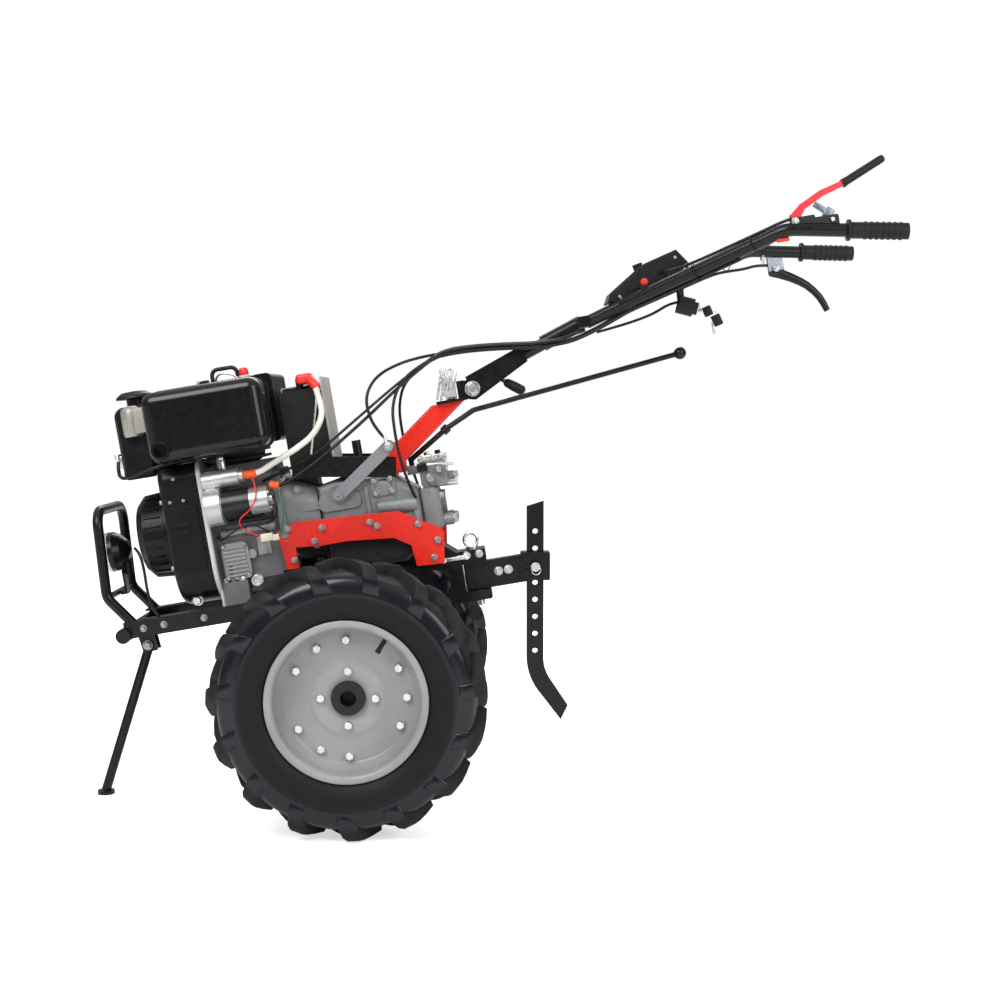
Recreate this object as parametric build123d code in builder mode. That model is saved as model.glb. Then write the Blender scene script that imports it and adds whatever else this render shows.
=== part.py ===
"""Two-wheel walking tractor with a single-cylinder engine, parked on its wheels and front stand.

Millimetres, X forward, Y to the left, Z up, floor at Z = 0.
The chassis is drawn in its own side view, aft of the axle and above it, and parks with its nose down.
"""
import os
from math import atan2, cos, degrees, hypot, radians, sin, tan

from build123d import *

# Stance
PITCH = 9.5
AXLE_X = 276.3
TRACK = 680.0

# Tyres, rims and hubs
TYRE_D = 568.0
TYRE_W = 138.0
LUG_H = 21.0
LUG_T = 24.0
LUG_SWEEP = 54.0
LUGS_PER_SIDE = 15
FACETS_PER_LUG = 2
WALL_SLOPE = 65.0
SHOULDER_SLOPE = 68.0
BEAD_R = 152.4
FLANGE_H = 13.0
RIM_W = 102.0
RIM_T = 5.0
DISC_T = 6.0
HUB_R = 34.5
HUB_BORE_R = 16.5
HUB_NOSE = 12.0
HUB_L = 162.0
HUB_PLATE_R = 76.0
HUB_PLATE_T = 14.0
SHAFT_R = 16.0
SPIGOT_L = 32.0
JOURNAL_R = 20.0
JOURNAL_L = 40.0

# Fits and clearances
RUNNING = 0.06
SIDE_PLAY = 0.5
SWING = 6.0

# Gearbox and final drive
FLANGE_AFT = -108.0
CASE_L = 304.0
CASE_HALF = 92.0
CASE_LOW = 232.0
CASE_TOP = 428.0
BELL_L = 88.0
BELL_R = 118.0
REAR_L = 44.0
REAR_HALF = 70.0
SHIFT_L = 60.0
SHIFT_H = 58.0
FINAL_R = 76.0
FINAL_HALF = 58.0
BEARING_R = 42.0
BEARING_Y = 96.0

# Engine
CRANK_UP = 371.0
BLOCK_L = 154.0
BLOCK_HALF = 108.0
BLOCK_TOP = 500.0
FAN_L = 86.0
FAN_HALF = 150.0
RECOIL_R = 96.0
RECOIL_L = 78.0
STRIP_T = 11.0
HEAD_TOP = 640.0
TANK_L = 126.0
TANK_H = 158.0
CAP_R = 40.0
MUFFLER_L = 254.0
MUFFLER_H = 150.0
MUFFLER_W = 100.0
MUFFLER_UP = 604.0
OUTLET_R = 15.0
OUTLET_L = 26.0
STARTER_R = 31.0
SOLENOID_R = 19.0

# Battery and tray
BATTERY_L = 92.0
BATTERY_W = 190.0
BATTERY_H = 184.0
TRAY_T = 4.0
TRAY_UP = 452.0
TRAY_SIDE = 44.0

# Frame, guard and lamp
RAIL_Y = 108.0
RAIL_H = 36.0
RAIL_W = 40.0
RAIL_T = 4.0
RAIL_TOP = 203.0
RAIL_L = 408.0
CROSS_R = 16.0
CROSS_L = 280.0
GUARD_R = 11.0
GUARD_Y = 116.0
GUARD_H = 247.0
NOSE_GAP = 74.0
LAMP_R = 44.0
LAMP_L = 52.0

# Front stand
STAND_R = 10.5
STAND_DROP = 68.0
STAND_PIN_R = 6.0
FOOT_R = 19.0
FOOT_T = 8.0
FOOT_REACH = 104.0

# Side plates
PLATE_GAP = 20.0
PLATE_T = 6.0

# Handlebar
TILT_REACH = 154.0
TILT_UP = 578.0
TILT_PIN_R = 8.0
LUG_HALF = 14.0
CHEEK_T = 7.0
COLUMN_W = 44.0
BAR_R = 14.0
GRIP_R = 17.0
GRIP_L = 126.0
GRIP_Y = 240.0
BOX_HALF = 62.0

# Hitch and coulter
HITCH_REACH = 94.0
HITCH_PIN_R = 9.0
HITCH_HALF = 32.0
TONGUE_HALF = 14.0
DRAW_UP = 165.0
DRAW_H = 61.0
HOLDER_REACH = 132.5
HOLDER_UP = 165.5
HOLDER_WALL = 14.0
COULTER_W = 38.0
COULTER_T = 14.0
HOLE_R = 6.25
HOLE_PITCH = 38.5
HOLES = 8
PIN_HOLE = 2
COULTER_CURVE = 90.0

# Starter lead
LEAD_R = 6.5

P = radians(PITCH)
FWD = Vector(cos(P), 0, -sin(P))
UP = Vector(sin(P), 0, cos(P))
AXLE = Vector(AXLE_X, 0, TYRE_D / 2)
WHEEL_Y = TRACK / 2
FLANGE_R = BEAD_R + FLANGE_H
CASE_REAR = FLANGE_AFT + CASE_L
FAN_REAR = FLANGE_AFT - BLOCK_L
FAN_FRONT = FAN_REAR - FAN_L
RECOIL_FRONT = FAN_FRONT - RECOIL_L
TILT_AFT = CASE_REAR + TILT_REACH
HITCH_AFT = CASE_REAR + HITCH_REACH
HOLDER_AFT = HITCH_AFT + HOLDER_REACH
PLATE_Y = CASE_HALF + PLATE_GAP
RAIL_REAR = FLANGE_AFT + 38
RAIL_FRONT = RAIL_REAR - RAIL_L
RAIL_LOW = RAIL_TOP - RAIL_H


def at(aft, y, up):
    """A point given aft of the axle, left of centre and above the axle, along the chassis."""
    return AXLE - FWD * aft + UP * up + Vector(0, y, 0)


def side(y=0.0):
    """Side-view plane at a distance left of centre: local x runs aft, local y runs up."""
    return Plane(at(0, y, 0), x_dir=-FWD, z_dir=(0, 1, 0))


def across(aft, y=0.0, up=0.0):
    """Cross plane facing forward: local x runs left, local y runs up."""
    return Plane(at(aft, y, up), x_dir=(0, 1, 0), z_dir=FWD)


def deck(up, aft=0.0, y=0.0):
    """Deck plane facing up: local x runs forward, local y runs left."""
    return Plane(at(aft, y, up), x_dir=FWD, z_dir=UP)


def slab(aft0, aft1, up0, up1, y0, y1, corner=0.0):
    """Add a chassis-aligned block, its side-view corners rounded, to the open part."""
    with BuildSketch(side((y0 + y1) / 2)) as outline:
        with Locations(((aft0 + aft1) / 2, (up0 + up1) / 2)):
            if corner:
                RectangleRounded(aft1 - aft0, up1 - up0, corner)
            else:
                Rectangle(aft1 - aft0, up1 - up0)
    extrude(outline.sketch, amount=(y1 - y0) / 2, both=True)


def bar(start, end, radius, mode=Mode.ADD):
    """Add a round bar between two points to the open part."""
    with BuildSketch(Plane(start, z_dir=end - start)) as outline:
        Circle(radius)
    extrude(outline.sketch, amount=(end - start).length, mode=mode)


def tube(points, bends, radius):
    """Add a round bar that follows straight runs and tangent bends; gives back its centre line."""
    with BuildLine() as run:
        FilletPolyline(*points, radius=bends)
    with BuildSketch(Plane(run.line @ 0, z_dir=run.line % 0)) as ring:
        Circle(radius)
    sweep(ring.sketch, path=run.line)
    return run.line


def cord_bends(points):
    """Bend radii of a cord's route, each as large as its two runs allow."""
    bends = []
    for before, here, after in zip(points, points[1:], points[2:]):
        turn = radians((here - before).get_angle(after - here))
        bends.append(0.45 * min((here - before).length, (after - here).length) / tan(turn / 2))
    return bends


# Tyre, drawn about its own axis: faceted carcass with slanted lugs staggered left and right
LUG_TIP = TYRE_D / 2
CROWN_R = LUG_TIP - LUG_H
SHOULDER_R = CROWN_R - 9
SHOULDER_Y = TYRE_W / 2 - 8
LUG_FLAT = (LUG_TIP**2 - (LUG_SWEEP / 2 + LUG_T / 2) ** 2) ** 0.5
LUG_ROOT = CROWN_R - 34
FACETS = FACETS_PER_LUG * LUGS_PER_SIDE
with BuildPart() as lug_bar:
    with BuildSketch(Plane((LUG_ROOT, 0, 0), x_dir=(0, 0, 1), z_dir=(1, 0, 0))):
        with BuildLine():
            Polyline(
                (-7, -LUG_SWEEP / 2 - LUG_T / 2), (TYRE_W / 2 + 3, LUG_SWEEP / 2 - LUG_T / 2),
                (TYRE_W / 2 + 3, LUG_SWEEP / 2 + LUG_T / 2), (-7, -LUG_SWEEP / 2 + LUG_T / 2), close=True,
            )
        make_face()
    extrude(amount=LUG_FLAT - LUG_ROOT, taper=4)
    split(
        bisect_by=Plane((LUG_FLAT, 0, TYRE_W * 0.32), z_dir=(TYRE_W * 0.18, 0, LUG_H * 0.8)),
        keep=Keep.BOTTOM,
    )
with BuildPart() as half_tyre:
    with BuildSketch():
        RegularPolygon(CROWN_R, FACETS)
    extrude(amount=SHOULDER_Y, taper=degrees(atan2(CROWN_R - SHOULDER_R, SHOULDER_Y)))
    extrude(
        half_tyre.faces().sort_by(Axis.Z)[-1], amount=TYRE_W / 2 - SHOULDER_Y, taper=SHOULDER_SLOPE
    )
    with BuildSketch(Plane.XY.offset(RIM_W / 2)):
        RegularPolygon(FLANGE_R + 2, FACETS)
    extrude(amount=(TYRE_W - RIM_W) / 2, taper=-WALL_SLOPE, mode=Mode.SUBTRACT)
with BuildPart() as tyre_form:
    add(half_tyre.part)
    mirror(half_tyre.part, about=Plane.XY)
    with PolarLocations(0, LUGS_PER_SIDE):
        add(lug_bar.part)
    with PolarLocations(0, LUGS_PER_SIDE, start_angle=180 / LUGS_PER_SIDE):
        add(mirror(lug_bar.part, about=Plane.XY, mode=Mode.PRIVATE))
    with BuildSketch():
        RegularPolygon(BEAD_R, FACETS, major_radius=False)
    extrude(amount=TYRE_W, both=True, mode=Mode.SUBTRACT)

# Rim about the same axis, open side up: barrel, rolled flanges and a dished disc
BARREL_R = BEAD_R - RIM_T
with BuildPart() as rim_form:
    with BuildSketch(Plane.XZ):
        with BuildLine():
            Polyline(
                (BEAD_R, -RIM_W / 2), (FLANGE_R, -RIM_W / 2), (FLANGE_R, -RIM_W / 2 - RIM_T),
                (BARREL_R, -RIM_W / 2 - RIM_T), (BARREL_R, -DISC_T), (HUB_R, -DISC_T), (HUB_R, 0),
                (BARREL_R - 16, 0), (BARREL_R, 16), (BARREL_R, RIM_W / 2 + RIM_T),
                (FLANGE_R, RIM_W / 2 + RIM_T), (FLANGE_R, RIM_W / 2), (BEAD_R, RIM_W / 2), close=True,
            )
        make_face()
    revolve(axis=Axis.Z)


def wheel_place(y):
    """Wheel place at a distance left of centre, its open side outward."""
    return Plane((AXLE_X, y, TYRE_D / 2), x_dir=(1, 0, 0), z_dir=(0, 1 if y > 0 else -1, 0)).location


with BuildPart() as tyre_left:
    with Locations(wheel_place(WHEEL_Y)):
        add(tyre_form.part)
with BuildPart() as tyre_right:
    mirror(tyre_left.part, about=Plane.XZ)
with BuildPart() as rim_left:
    with Locations(wheel_place(WHEEL_Y)):
        add(rim_form.part)
with BuildPart() as rim_right:
    mirror(rim_left.part, about=Plane.XZ)

# Hub: sleeve through the disc with its bolting plate behind, pinned on the half-shaft
HUB_OUT = WHEEL_Y + HUB_NOSE
SHAFT_OUT = HUB_OUT - SPIGOT_L
PLATE_IN = WHEEL_Y - DISC_T - HUB_PLATE_T
AXLE_LINE = Axis((AXLE_X, 0, TYRE_D / 2), (0, 1, 0))
HUB_VIEW = Plane((AXLE_X, 0, TYRE_D / 2), x_dir=(0, 1, 0), z_dir=(1, 0, 0))
with BuildPart() as hub_left:
    with BuildSketch(HUB_VIEW):
        with BuildLine():
            Polyline(
                (HUB_OUT - HUB_L, SHAFT_R), (HUB_OUT - HUB_L, HUB_R - 4), (PLATE_IN, HUB_R - 4),
                (PLATE_IN, HUB_PLATE_R), (WHEEL_Y - DISC_T, HUB_PLATE_R), (WHEEL_Y - DISC_T, HUB_R),
                (HUB_OUT, HUB_R), (HUB_OUT, HUB_BORE_R), (SHAFT_OUT, HUB_BORE_R), (SHAFT_OUT, SHAFT_R),
                close=True,
            )
        make_face()
    revolve(axis=AXLE_LINE)
with BuildPart() as hub_right:
    mirror(hub_left.part, about=Plane.XZ)
with BuildPart() as half_shaft_left:
    with BuildSketch(HUB_VIEW):
        with BuildLine():
            Polyline(
                (BEARING_Y - JOURNAL_L, 0), (BEARING_Y - JOURNAL_L, JOURNAL_R),
                (BEARING_Y + 2 * SWING, JOURNAL_R), (BEARING_Y + 2 * SWING, SHAFT_R), (SHAFT_OUT, SHAFT_R),
                (SHAFT_OUT, 0), close=True,
            )
        make_face()
    revolve(axis=AXLE_LINE)
with BuildPart() as half_shaft_right:
    mirror(half_shaft_left.part, about=Plane.XZ)

# Final drive case hung under the gearbox: hull outline, raised rims and the axle bearings
with BuildPart() as final_drive:
    with BuildSketch(side()):
        Circle(FINAL_R)
        with Locations((16, CASE_LOW - 20)):
            Rectangle(CASE_L * 0.68, 40)
        make_hull()
    extrude(amount=FINAL_HALF, both=True)
    for y in (FINAL_HALF, -FINAL_HALF - 5):
        with BuildSketch(side(y)):
            with Locations((0, 0)):
                Circle(BEARING_R + 14)
            with Locations((16, CASE_LOW - 52)):
                RectangleRounded(CASE_L * 0.5, 40, 10)
        extrude(amount=5)
    with BuildSketch(side()):
        Circle(BEARING_R)
    extrude(amount=BEARING_Y, both=True)
    with BuildSketch(side()):
        Circle(JOURNAL_R + RUNNING)
    extrude(amount=BEARING_Y, both=True, mode=Mode.SUBTRACT)

# Clutch bell: flange at the engine, drawn down to the gearbox outline
BELL_REAR = FLANGE_AFT + BELL_L
CASE_MID = (CASE_LOW + CASE_TOP) / 2
with BuildPart() as clutch_bell:
    with BuildSketch(across(FLANGE_AFT, 0, CRANK_UP)):
        RectangleRounded(2 * BELL_R - 30, 2 * BELL_R - 46, 60)
    with BuildSketch(across(BELL_REAR, 0, CRANK_UP - 28)):
        RectangleRounded(2 * CASE_HALF, 2 * BELL_R - 74, 46)
    loft()
    with BuildSketch(across(FLANGE_AFT, 0, CRANK_UP)):
        RectangleRounded(2 * BELL_R, 2 * BELL_R - 26, 60)
    extrude(amount=-14)
    for up in (CRANK_UP - 44, CRANK_UP + 4):
        slab(FLANGE_AFT + 10, BELL_REAR, up, up + 7, -CASE_HALF - 6, CASE_HALF + 6)

# Gearbox case: sloped roof, shift-rail bosses, window pocket, ribs and the joint band at mid-length
CASE_KNEE = CASE_REAR - 46
POCKET_AFT = CASE_KNEE - 48
with BuildPart() as gearbox_case:
    with BuildSketch(side()):
        with BuildLine():
            Polyline(
                (BELL_REAR, CASE_LOW), (BELL_REAR, CASE_TOP - 6), (BELL_REAR + 40, CASE_TOP + 2),
                (CASE_KNEE - 50, CASE_TOP - 4), (CASE_KNEE, CASE_TOP - 14), (CASE_REAR, CASE_TOP - 48),
                (CASE_REAR, CASE_LOW + 30), (CASE_KNEE, CASE_LOW), close=True,
            )
        make_face()
    extrude(amount=CASE_HALF, both=True)
    fillet(gearbox_case.edges().filter_by(lambda e: abs(e.center().Y) > CASE_HALF - 1), 12)
    for y in (CASE_HALF - 10, -CASE_HALF - 6):
        with BuildSketch(side(y)):
            with Locations((BELL_REAR + 106, CASE_MID + 20)):
                Rectangle(8, CASE_TOP - CASE_LOW - 84)
            with Locations((CASE_REAR - 9, CASE_MID)):
                Rectangle(10, CASE_TOP - CASE_LOW - 96)
            with Locations((BELL_REAR + 46, CASE_TOP - 44)):
                RectangleRounded(92, 36, 14)
        extrude(amount=16)
        with BuildSketch(side(y)):
            with Locations((POCKET_AFT + 22, CASE_TOP - 26)):
                RectangleRounded(52, 42, 6)
            with Locations((POCKET_AFT + 22, CASE_TOP - 26)):
                RectangleRounded(40, 30, 4, mode=Mode.SUBTRACT)
        extrude(amount=14)
        bar(at(POCKET_AFT + 4, y + 6, CASE_TOP - 72), at(CASE_REAR - 6, y + 6, CASE_TOP - 76), 17)
    add(clutch_bell.part, mode=Mode.SUBTRACT)

# Rear housing with bearing caps, and the shift box with its turret over the housing's shoulder
REAR_LOW = CASE_LOW + 54
REAR_TOP = CASE_TOP - 48
REAR_END = CASE_REAR + REAR_L
with BuildPart() as gearbox_rear:
    slab(CASE_REAR, REAR_END, REAR_LOW, REAR_TOP, -REAR_HALF, REAR_HALF, 14)
    chamfer(gearbox_rear.faces().sort_by(Axis.X)[0].edges(), 6)
    for y in (REAR_HALF - 22, 22 - REAR_HALF):
        bar(at(REAR_END - 4, y, REAR_LOW + 18), at(REAR_END + 22, y, REAR_LOW + 18), 13)
    cap_up = (REAR_LOW + REAR_TOP) / 2 + 6
    bar(at(REAR_END - 4, 0, cap_up), at(REAR_END + 10, 0, cap_up), 26)
SHIFT_FRONT = CASE_REAR + 8
SHIFT_TOP = REAR_TOP + SHIFT_H
TURRET_AFT = SHIFT_FRONT - 16
with BuildPart() as shift_box:
    slab(SHIFT_FRONT, SHIFT_FRONT + SHIFT_L, REAR_TOP, SHIFT_TOP, -48, 48, 10)
    slab(TURRET_AFT - 12, SHIFT_FRONT + 20, SHIFT_TOP - 26, SHIFT_TOP - 6, -12, 12)
    for aft, up, radius in ((22, 20, 12), (44, 36, 9)):
        bar(at(SHIFT_FRONT + aft, 40, REAR_TOP + up), at(SHIFT_FRONT + aft, 62, REAR_TOP + up), radius)
    bar(at(SHIFT_FRONT + 50, 22, REAR_TOP + 18), at(SHIFT_FRONT + SHIFT_L + 14, 22, REAR_TOP + 18), 10)
    bar(at(SHIFT_FRONT + 20, -20, SHIFT_TOP - 6), at(SHIFT_FRONT + 20, -20, SHIFT_TOP + 10), 8)
    add(gearbox_case.part, mode=Mode.SUBTRACT)
    add(gearbox_rear.part, mode=Mode.SUBTRACT)

# Pressed side plates: outline with the cranked rear foot, turned-in lower edge and spacers to the case
with BuildPart() as side_plate_left:
    with BuildSketch(side(PLATE_Y)):
        with BuildLine():
            Polyline(
                (FLANGE_AFT - 10, 342), (FLANGE_AFT + 36, 357), (CASE_REAR - 47, 344),
                (CASE_REAR - 12, 321), (CASE_REAR + 36, 294), (CASE_REAR + 43, 284),
                (CASE_REAR + 39, 260), (CASE_REAR + 33, 216),
                (CASE_REAR - 27, 219), (CASE_REAR - 32, 266), (CASE_REAR - 67, 288), (27, 298),
                (FLANGE_AFT + 78, 297), (FLANGE_AFT + 25, 303), (FLANGE_AFT + 25, 258), (FLANGE_AFT, 258),
                close=True,
            )
        make_face()
    extrude(amount=PLATE_T)
    with BuildSketch(side(PLATE_Y - 13)):
        with BuildLine():
            Polyline(
                (FLANGE_AFT + 78, 297), (27, 298), (CASE_REAR - 67, 288), (CASE_REAR - 32, 266),
                (CASE_REAR - 27, 273), (CASE_REAR - 64, 294), (27, 304), (FLANGE_AFT + 78, 303), close=True,
            )
        make_face()
    extrude(amount=13)
    for aft, up in ((FLANGE_AFT + 48, 330), (CASE_L / 4, 324), (CASE_REAR - 18, 300)):
        bar(at(aft, CASE_HALF - 10, up), at(aft, PLATE_Y, up), 13)
    add(gearbox_case.part, mode=Mode.SUBTRACT)
    add(clutch_bell.part, mode=Mode.SUBTRACT)
with BuildPart() as side_plate_right:
    mirror(side_plate_left.part, about=Plane.XZ)

# Engine frame: inward-facing channels on a cross tube
CROSS_AFT = RAIL_FRONT - 2
CROSS_UP = RAIL_LOW + 9
with BuildPart() as cross_tube:
    with BuildSketch(side()):
        with Locations((CROSS_AFT, CROSS_UP)):
            Circle(CROSS_R)
    extrude(amount=CROSS_L / 2, both=True)
with BuildPart() as rail_left:
    with BuildSketch(across(RAIL_REAR)):
        with Locations((RAIL_Y, RAIL_TOP - RAIL_H / 2)):
            Rectangle(RAIL_W, RAIL_H)
        with Locations((RAIL_Y - RAIL_T, RAIL_TOP - RAIL_H / 2)):
            Rectangle(RAIL_W, RAIL_H - 2 * RAIL_T, mode=Mode.SUBTRACT)
    extrude(amount=RAIL_L)
    slab(FLANGE_AFT - 10, RAIL_REAR, RAIL_TOP, 258, RAIL_Y + 4, RAIL_Y + 4 + PLATE_T)
    slab(FLANGE_AFT + 13, FLANGE_AFT + 33, RAIL_LOW + 6, RAIL_TOP - RAIL_T, FINAL_HALF, RAIL_Y)
    add(cross_tube.part, mode=Mode.SUBTRACT)
with BuildPart() as rail_right:
    mirror(rail_left.part, about=Plane.XZ)

# Front guard: one bent tube with a lower bar
GUARD_AFT = RECOIL_FRONT - NOSE_GAP
GUARD_KNEE = RAIL_TOP + 59
GUARD_TOP = RAIL_TOP + GUARD_H
GUARD_SIDE = [(RAIL_FRONT + 32, RAIL_TOP - 23), (GUARD_AFT - 5, GUARD_KNEE), (GUARD_AFT + 6, GUARD_TOP)]
with BuildPart() as front_guard:
    tube(
        [at(a, GUARD_Y, u) for a, u in GUARD_SIDE] + [at(a, -GUARD_Y, u) for a, u in reversed(GUARD_SIDE)],
        38, GUARD_R,
    )
    bar(at(GUARD_AFT - 5, GUARD_Y, GUARD_KNEE), at(GUARD_AFT - 5, -GUARD_Y, GUARD_KNEE), 7)
    split(bisect_by=deck(RAIL_TOP), keep=Keep.TOP)

# Headlamp: rounded cup with a bracket on the guard's bar, and its lens
LAMP_UP = (GUARD_KNEE + GUARD_TOP) / 2 - 4
LAMP_FRONT = GUARD_AFT - 12
with BuildPart() as headlamp:
    with BuildSketch(side()):
        with BuildLine():
            Polyline(
                (LAMP_FRONT, LAMP_UP), (LAMP_FRONT, LAMP_UP + LAMP_R), (LAMP_FRONT + 16, LAMP_UP + LAMP_R),
                (LAMP_FRONT + 0.6 * LAMP_L, LAMP_UP + LAMP_R - 8),
                (LAMP_FRONT + LAMP_L - 8, LAMP_UP + LAMP_R / 2), (LAMP_FRONT + LAMP_L, LAMP_UP), close=True,
            )
        make_face()
    revolve(axis=Axis(at(0, 0, LAMP_UP), -FWD))
    with BuildSketch(across(LAMP_FRONT + 5, 0, LAMP_UP)):
        Circle(LAMP_R - 4)
    extrude(amount=20, mode=Mode.SUBTRACT)
    slab(GUARD_AFT + 11, GUARD_AFT + 15, GUARD_KNEE - 7, LAMP_UP - LAMP_R + 8, -15, 15)
    slab(GUARD_AFT + 1, GUARD_AFT + 15, GUARD_KNEE - 7, GUARD_KNEE, -15, 15)
    lamp_mid = LAMP_FRONT + 0.7 * LAMP_L
    bar(at(lamp_mid, 0, LAMP_UP - LAMP_R - 10), at(lamp_mid, 0, LAMP_UP), 9)
    add(front_guard.part, mode=Mode.SUBTRACT)
with BuildPart() as headlamp_lens:
    with BuildSketch(across(LAMP_FRONT + 5, 0, LAMP_UP)):
        Circle(LAMP_R - 4)
    extrude(amount=5)

# Stand clevis under the cross tube, and the leg between its cheeks
STAND_AFT = CROSS_AFT + 21
STAND_UP = RAIL_TOP - STAND_DROP
with BuildPart() as stand_bracket:
    for y in (17, -17):
        with BuildSketch(side(y)):
            with BuildLine():
                Polyline(
                    (CROSS_AFT - 2, CROSS_UP + 9), (STAND_AFT + 13, CROSS_UP + 9),
                    (STAND_AFT + 19, STAND_UP - 15), (STAND_AFT - 13, STAND_UP - 17), close=True,
                )
            make_face()
        extrude(amount=3, both=True)
    slab(STAND_AFT - 9, STAND_AFT + 11, STAND_UP + 25, STAND_UP + 33, -17, 17)
    with BuildSketch(side()):
        with Locations((STAND_AFT, STAND_UP)):
            Circle(STAND_PIN_R)
    extrude(amount=24, both=True)
    add(cross_tube.part, mode=Mode.SUBTRACT)
PIVOT = at(STAND_AFT, 0, STAND_UP)
FOOT = Vector(PIVOT.X + FOOT_REACH, 0, FOOT_T)
with BuildPart() as stand_leg:
    with BuildSketch(side()):
        with Locations((STAND_AFT, STAND_UP)):
            Circle(2 * STAND_PIN_R + 1)
    extrude(amount=12, both=True)
    bar(PIVOT, FOOT, STAND_R)
    with BuildSketch(Plane.XY):
        with Locations((FOOT.X, 0)):
            Circle(FOOT_R)
    extrude(amount=FOOT_T)
    with BuildSketch(side()):
        with Locations((STAND_AFT, STAND_UP)):
            Circle(STAND_PIN_R + RUNNING)
    extrude(amount=30, both=True, mode=Mode.SUBTRACT)
    split(bisect_by=Plane.XY, keep=Keep.TOP)

# Engine: crankcase on feet, with the back plate of the fan housing at its front
FAN_LOW = CRANK_UP - 160
FAN_TOP = BLOCK_TOP + 24
STARTER_Y = BLOCK_HALF + 36


def fan_face(aft, inset):
    """Outline of the fan housing at a distance aft, drawn in all round by an inset."""
    with BuildSketch(across(aft, 0, (FAN_LOW + FAN_TOP) / 2)) as face:
        Rectangle(2 * (FAN_HALF - inset), FAN_TOP - FAN_LOW - 2 * inset)
        fillet(face.vertices().group_by(Axis.Y)[0], 84)
        fillet(face.vertices().group_by(Axis.Y)[-1], 34)
    return face.sketch


with BuildPart() as crankcase:
    with BuildSketch(across(FLANGE_AFT, 0, 0)):
        with BuildLine():
            Polyline(
                (-BLOCK_HALF, 250), (-BLOCK_HALF, BLOCK_TOP - 30), (22 - BLOCK_HALF, BLOCK_TOP),
                (BLOCK_HALF - 22, BLOCK_TOP), (BLOCK_HALF, BLOCK_TOP - 30), (BLOCK_HALF, 250),
                (80, 222), (-80, 222), close=True,
            )
        make_face()
    extrude(amount=BLOCK_L)
    extrude(fan_face(FAN_REAR + STRIP_T, 0), amount=STRIP_T)
    for y in (RAIL_Y, -RAIL_Y):
        slab(FAN_REAR + 4, FAN_REAR + 66, RAIL_TOP, 252, y - 20, y + 20)
        slab(FAN_REAR + 30, FAN_REAR + 38, RAIL_TOP, 286, y - 16, y + 16)
with BuildPart() as fan_housing:
    extrude(fan_face(FAN_REAR, 3), amount=FAN_L)
    fillet(fan_housing.faces().sort_by(Axis.X)[-1].edges(), 16)
    for y in (FAN_HALF - 8, -FAN_HALF):
        slab(FAN_FRONT + 8, FAN_REAR - 10, CRANK_UP - 84, CRANK_UP + 60, y, y + 8, 8)
    for y in (FAN_HALF - 12, -FAN_HALF - 4):
        slab(FAN_FRONT + 14, FAN_REAR - 32, CRANK_UP + 18, CRANK_UP + 24, y, y + 16)
        slab(FAN_FRONT + 14, FAN_REAR - 32, CRANK_UP, CRANK_UP + 6, y, y + 16)
with BuildPart() as recoil_starter:
    with BuildSketch(side()):
        with BuildLine():
            Polyline(
                (FAN_FRONT, CRANK_UP), (FAN_FRONT, CRANK_UP + RECOIL_R + 14),
                (FAN_FRONT - 10, CRANK_UP + RECOIL_R + 14),
                (FAN_FRONT - 14, CRANK_UP + RECOIL_R), (RECOIL_FRONT + 16, CRANK_UP + RECOIL_R - 4),
                (RECOIL_FRONT, CRANK_UP + RECOIL_R - 22), (RECOIL_FRONT, CRANK_UP), close=True,
            )
        make_face()
    revolve(axis=Axis(at(0, 0, CRANK_UP), FWD))
    with BuildSketch(across(RECOIL_FRONT + 22, 0, CRANK_UP)):
        with PolarLocations(RECOIL_R, 28):
            Rectangle(11, 8)
    extrude(amount=-36, mode=Mode.SUBTRACT)
    with BuildSketch(across(RECOIL_FRONT, 0, CRANK_UP)):
        with PolarLocations(RECOIL_R * 0.5, 10):
            SlotOverall(34, 9)
    extrude(amount=-5, mode=Mode.SUBTRACT)

# Finned cylinder, head with rocker cover, lifting loop and valve-lift cap
HEAD_AFT = FLANGE_AFT - 78
with BuildPart() as cylinder:
    slab(HEAD_AFT - 50, HEAD_AFT + 50, BLOCK_TOP, HEAD_TOP - 42, -52, 52, 20)
    for k in range(6):
        up = BLOCK_TOP + 6 + k * (HEAD_TOP - BLOCK_TOP - 50) / 6
        slab(HEAD_AFT - 60, HEAD_AFT + 60, up, up + 6, -72, 72)
with BuildPart() as cylinder_head:
    slab(HEAD_AFT - 54, HEAD_AFT + 54, HEAD_TOP - 42, HEAD_TOP, -66, 66, 10)
    slab(HEAD_AFT - 40, HEAD_AFT + 40, HEAD_TOP, HEAD_TOP + 30, -46, 46, 12)
    tube(
        [at(HEAD_AFT - 25, 30, HEAD_TOP + 20), at(HEAD_AFT - 25, 30, HEAD_TOP + 72),
         at(HEAD_AFT + 31, 30, HEAD_TOP + 72), at(HEAD_AFT + 31, 30, HEAD_TOP + 20)], 14, 4.5,
    )
    bar(at(HEAD_AFT + 46, 36, HEAD_TOP - 6), at(HEAD_AFT + 46, 36, HEAD_TOP + 44), 11)
    bar(at(HEAD_AFT + 46, 36, HEAD_TOP + 44), at(HEAD_AFT + 46, 36, HEAD_TOP + 64), 7)
    slab(HEAD_AFT - 52, HEAD_AFT - 34, HEAD_TOP - 4, HEAD_TOP + 52, 24, 48)

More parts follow.
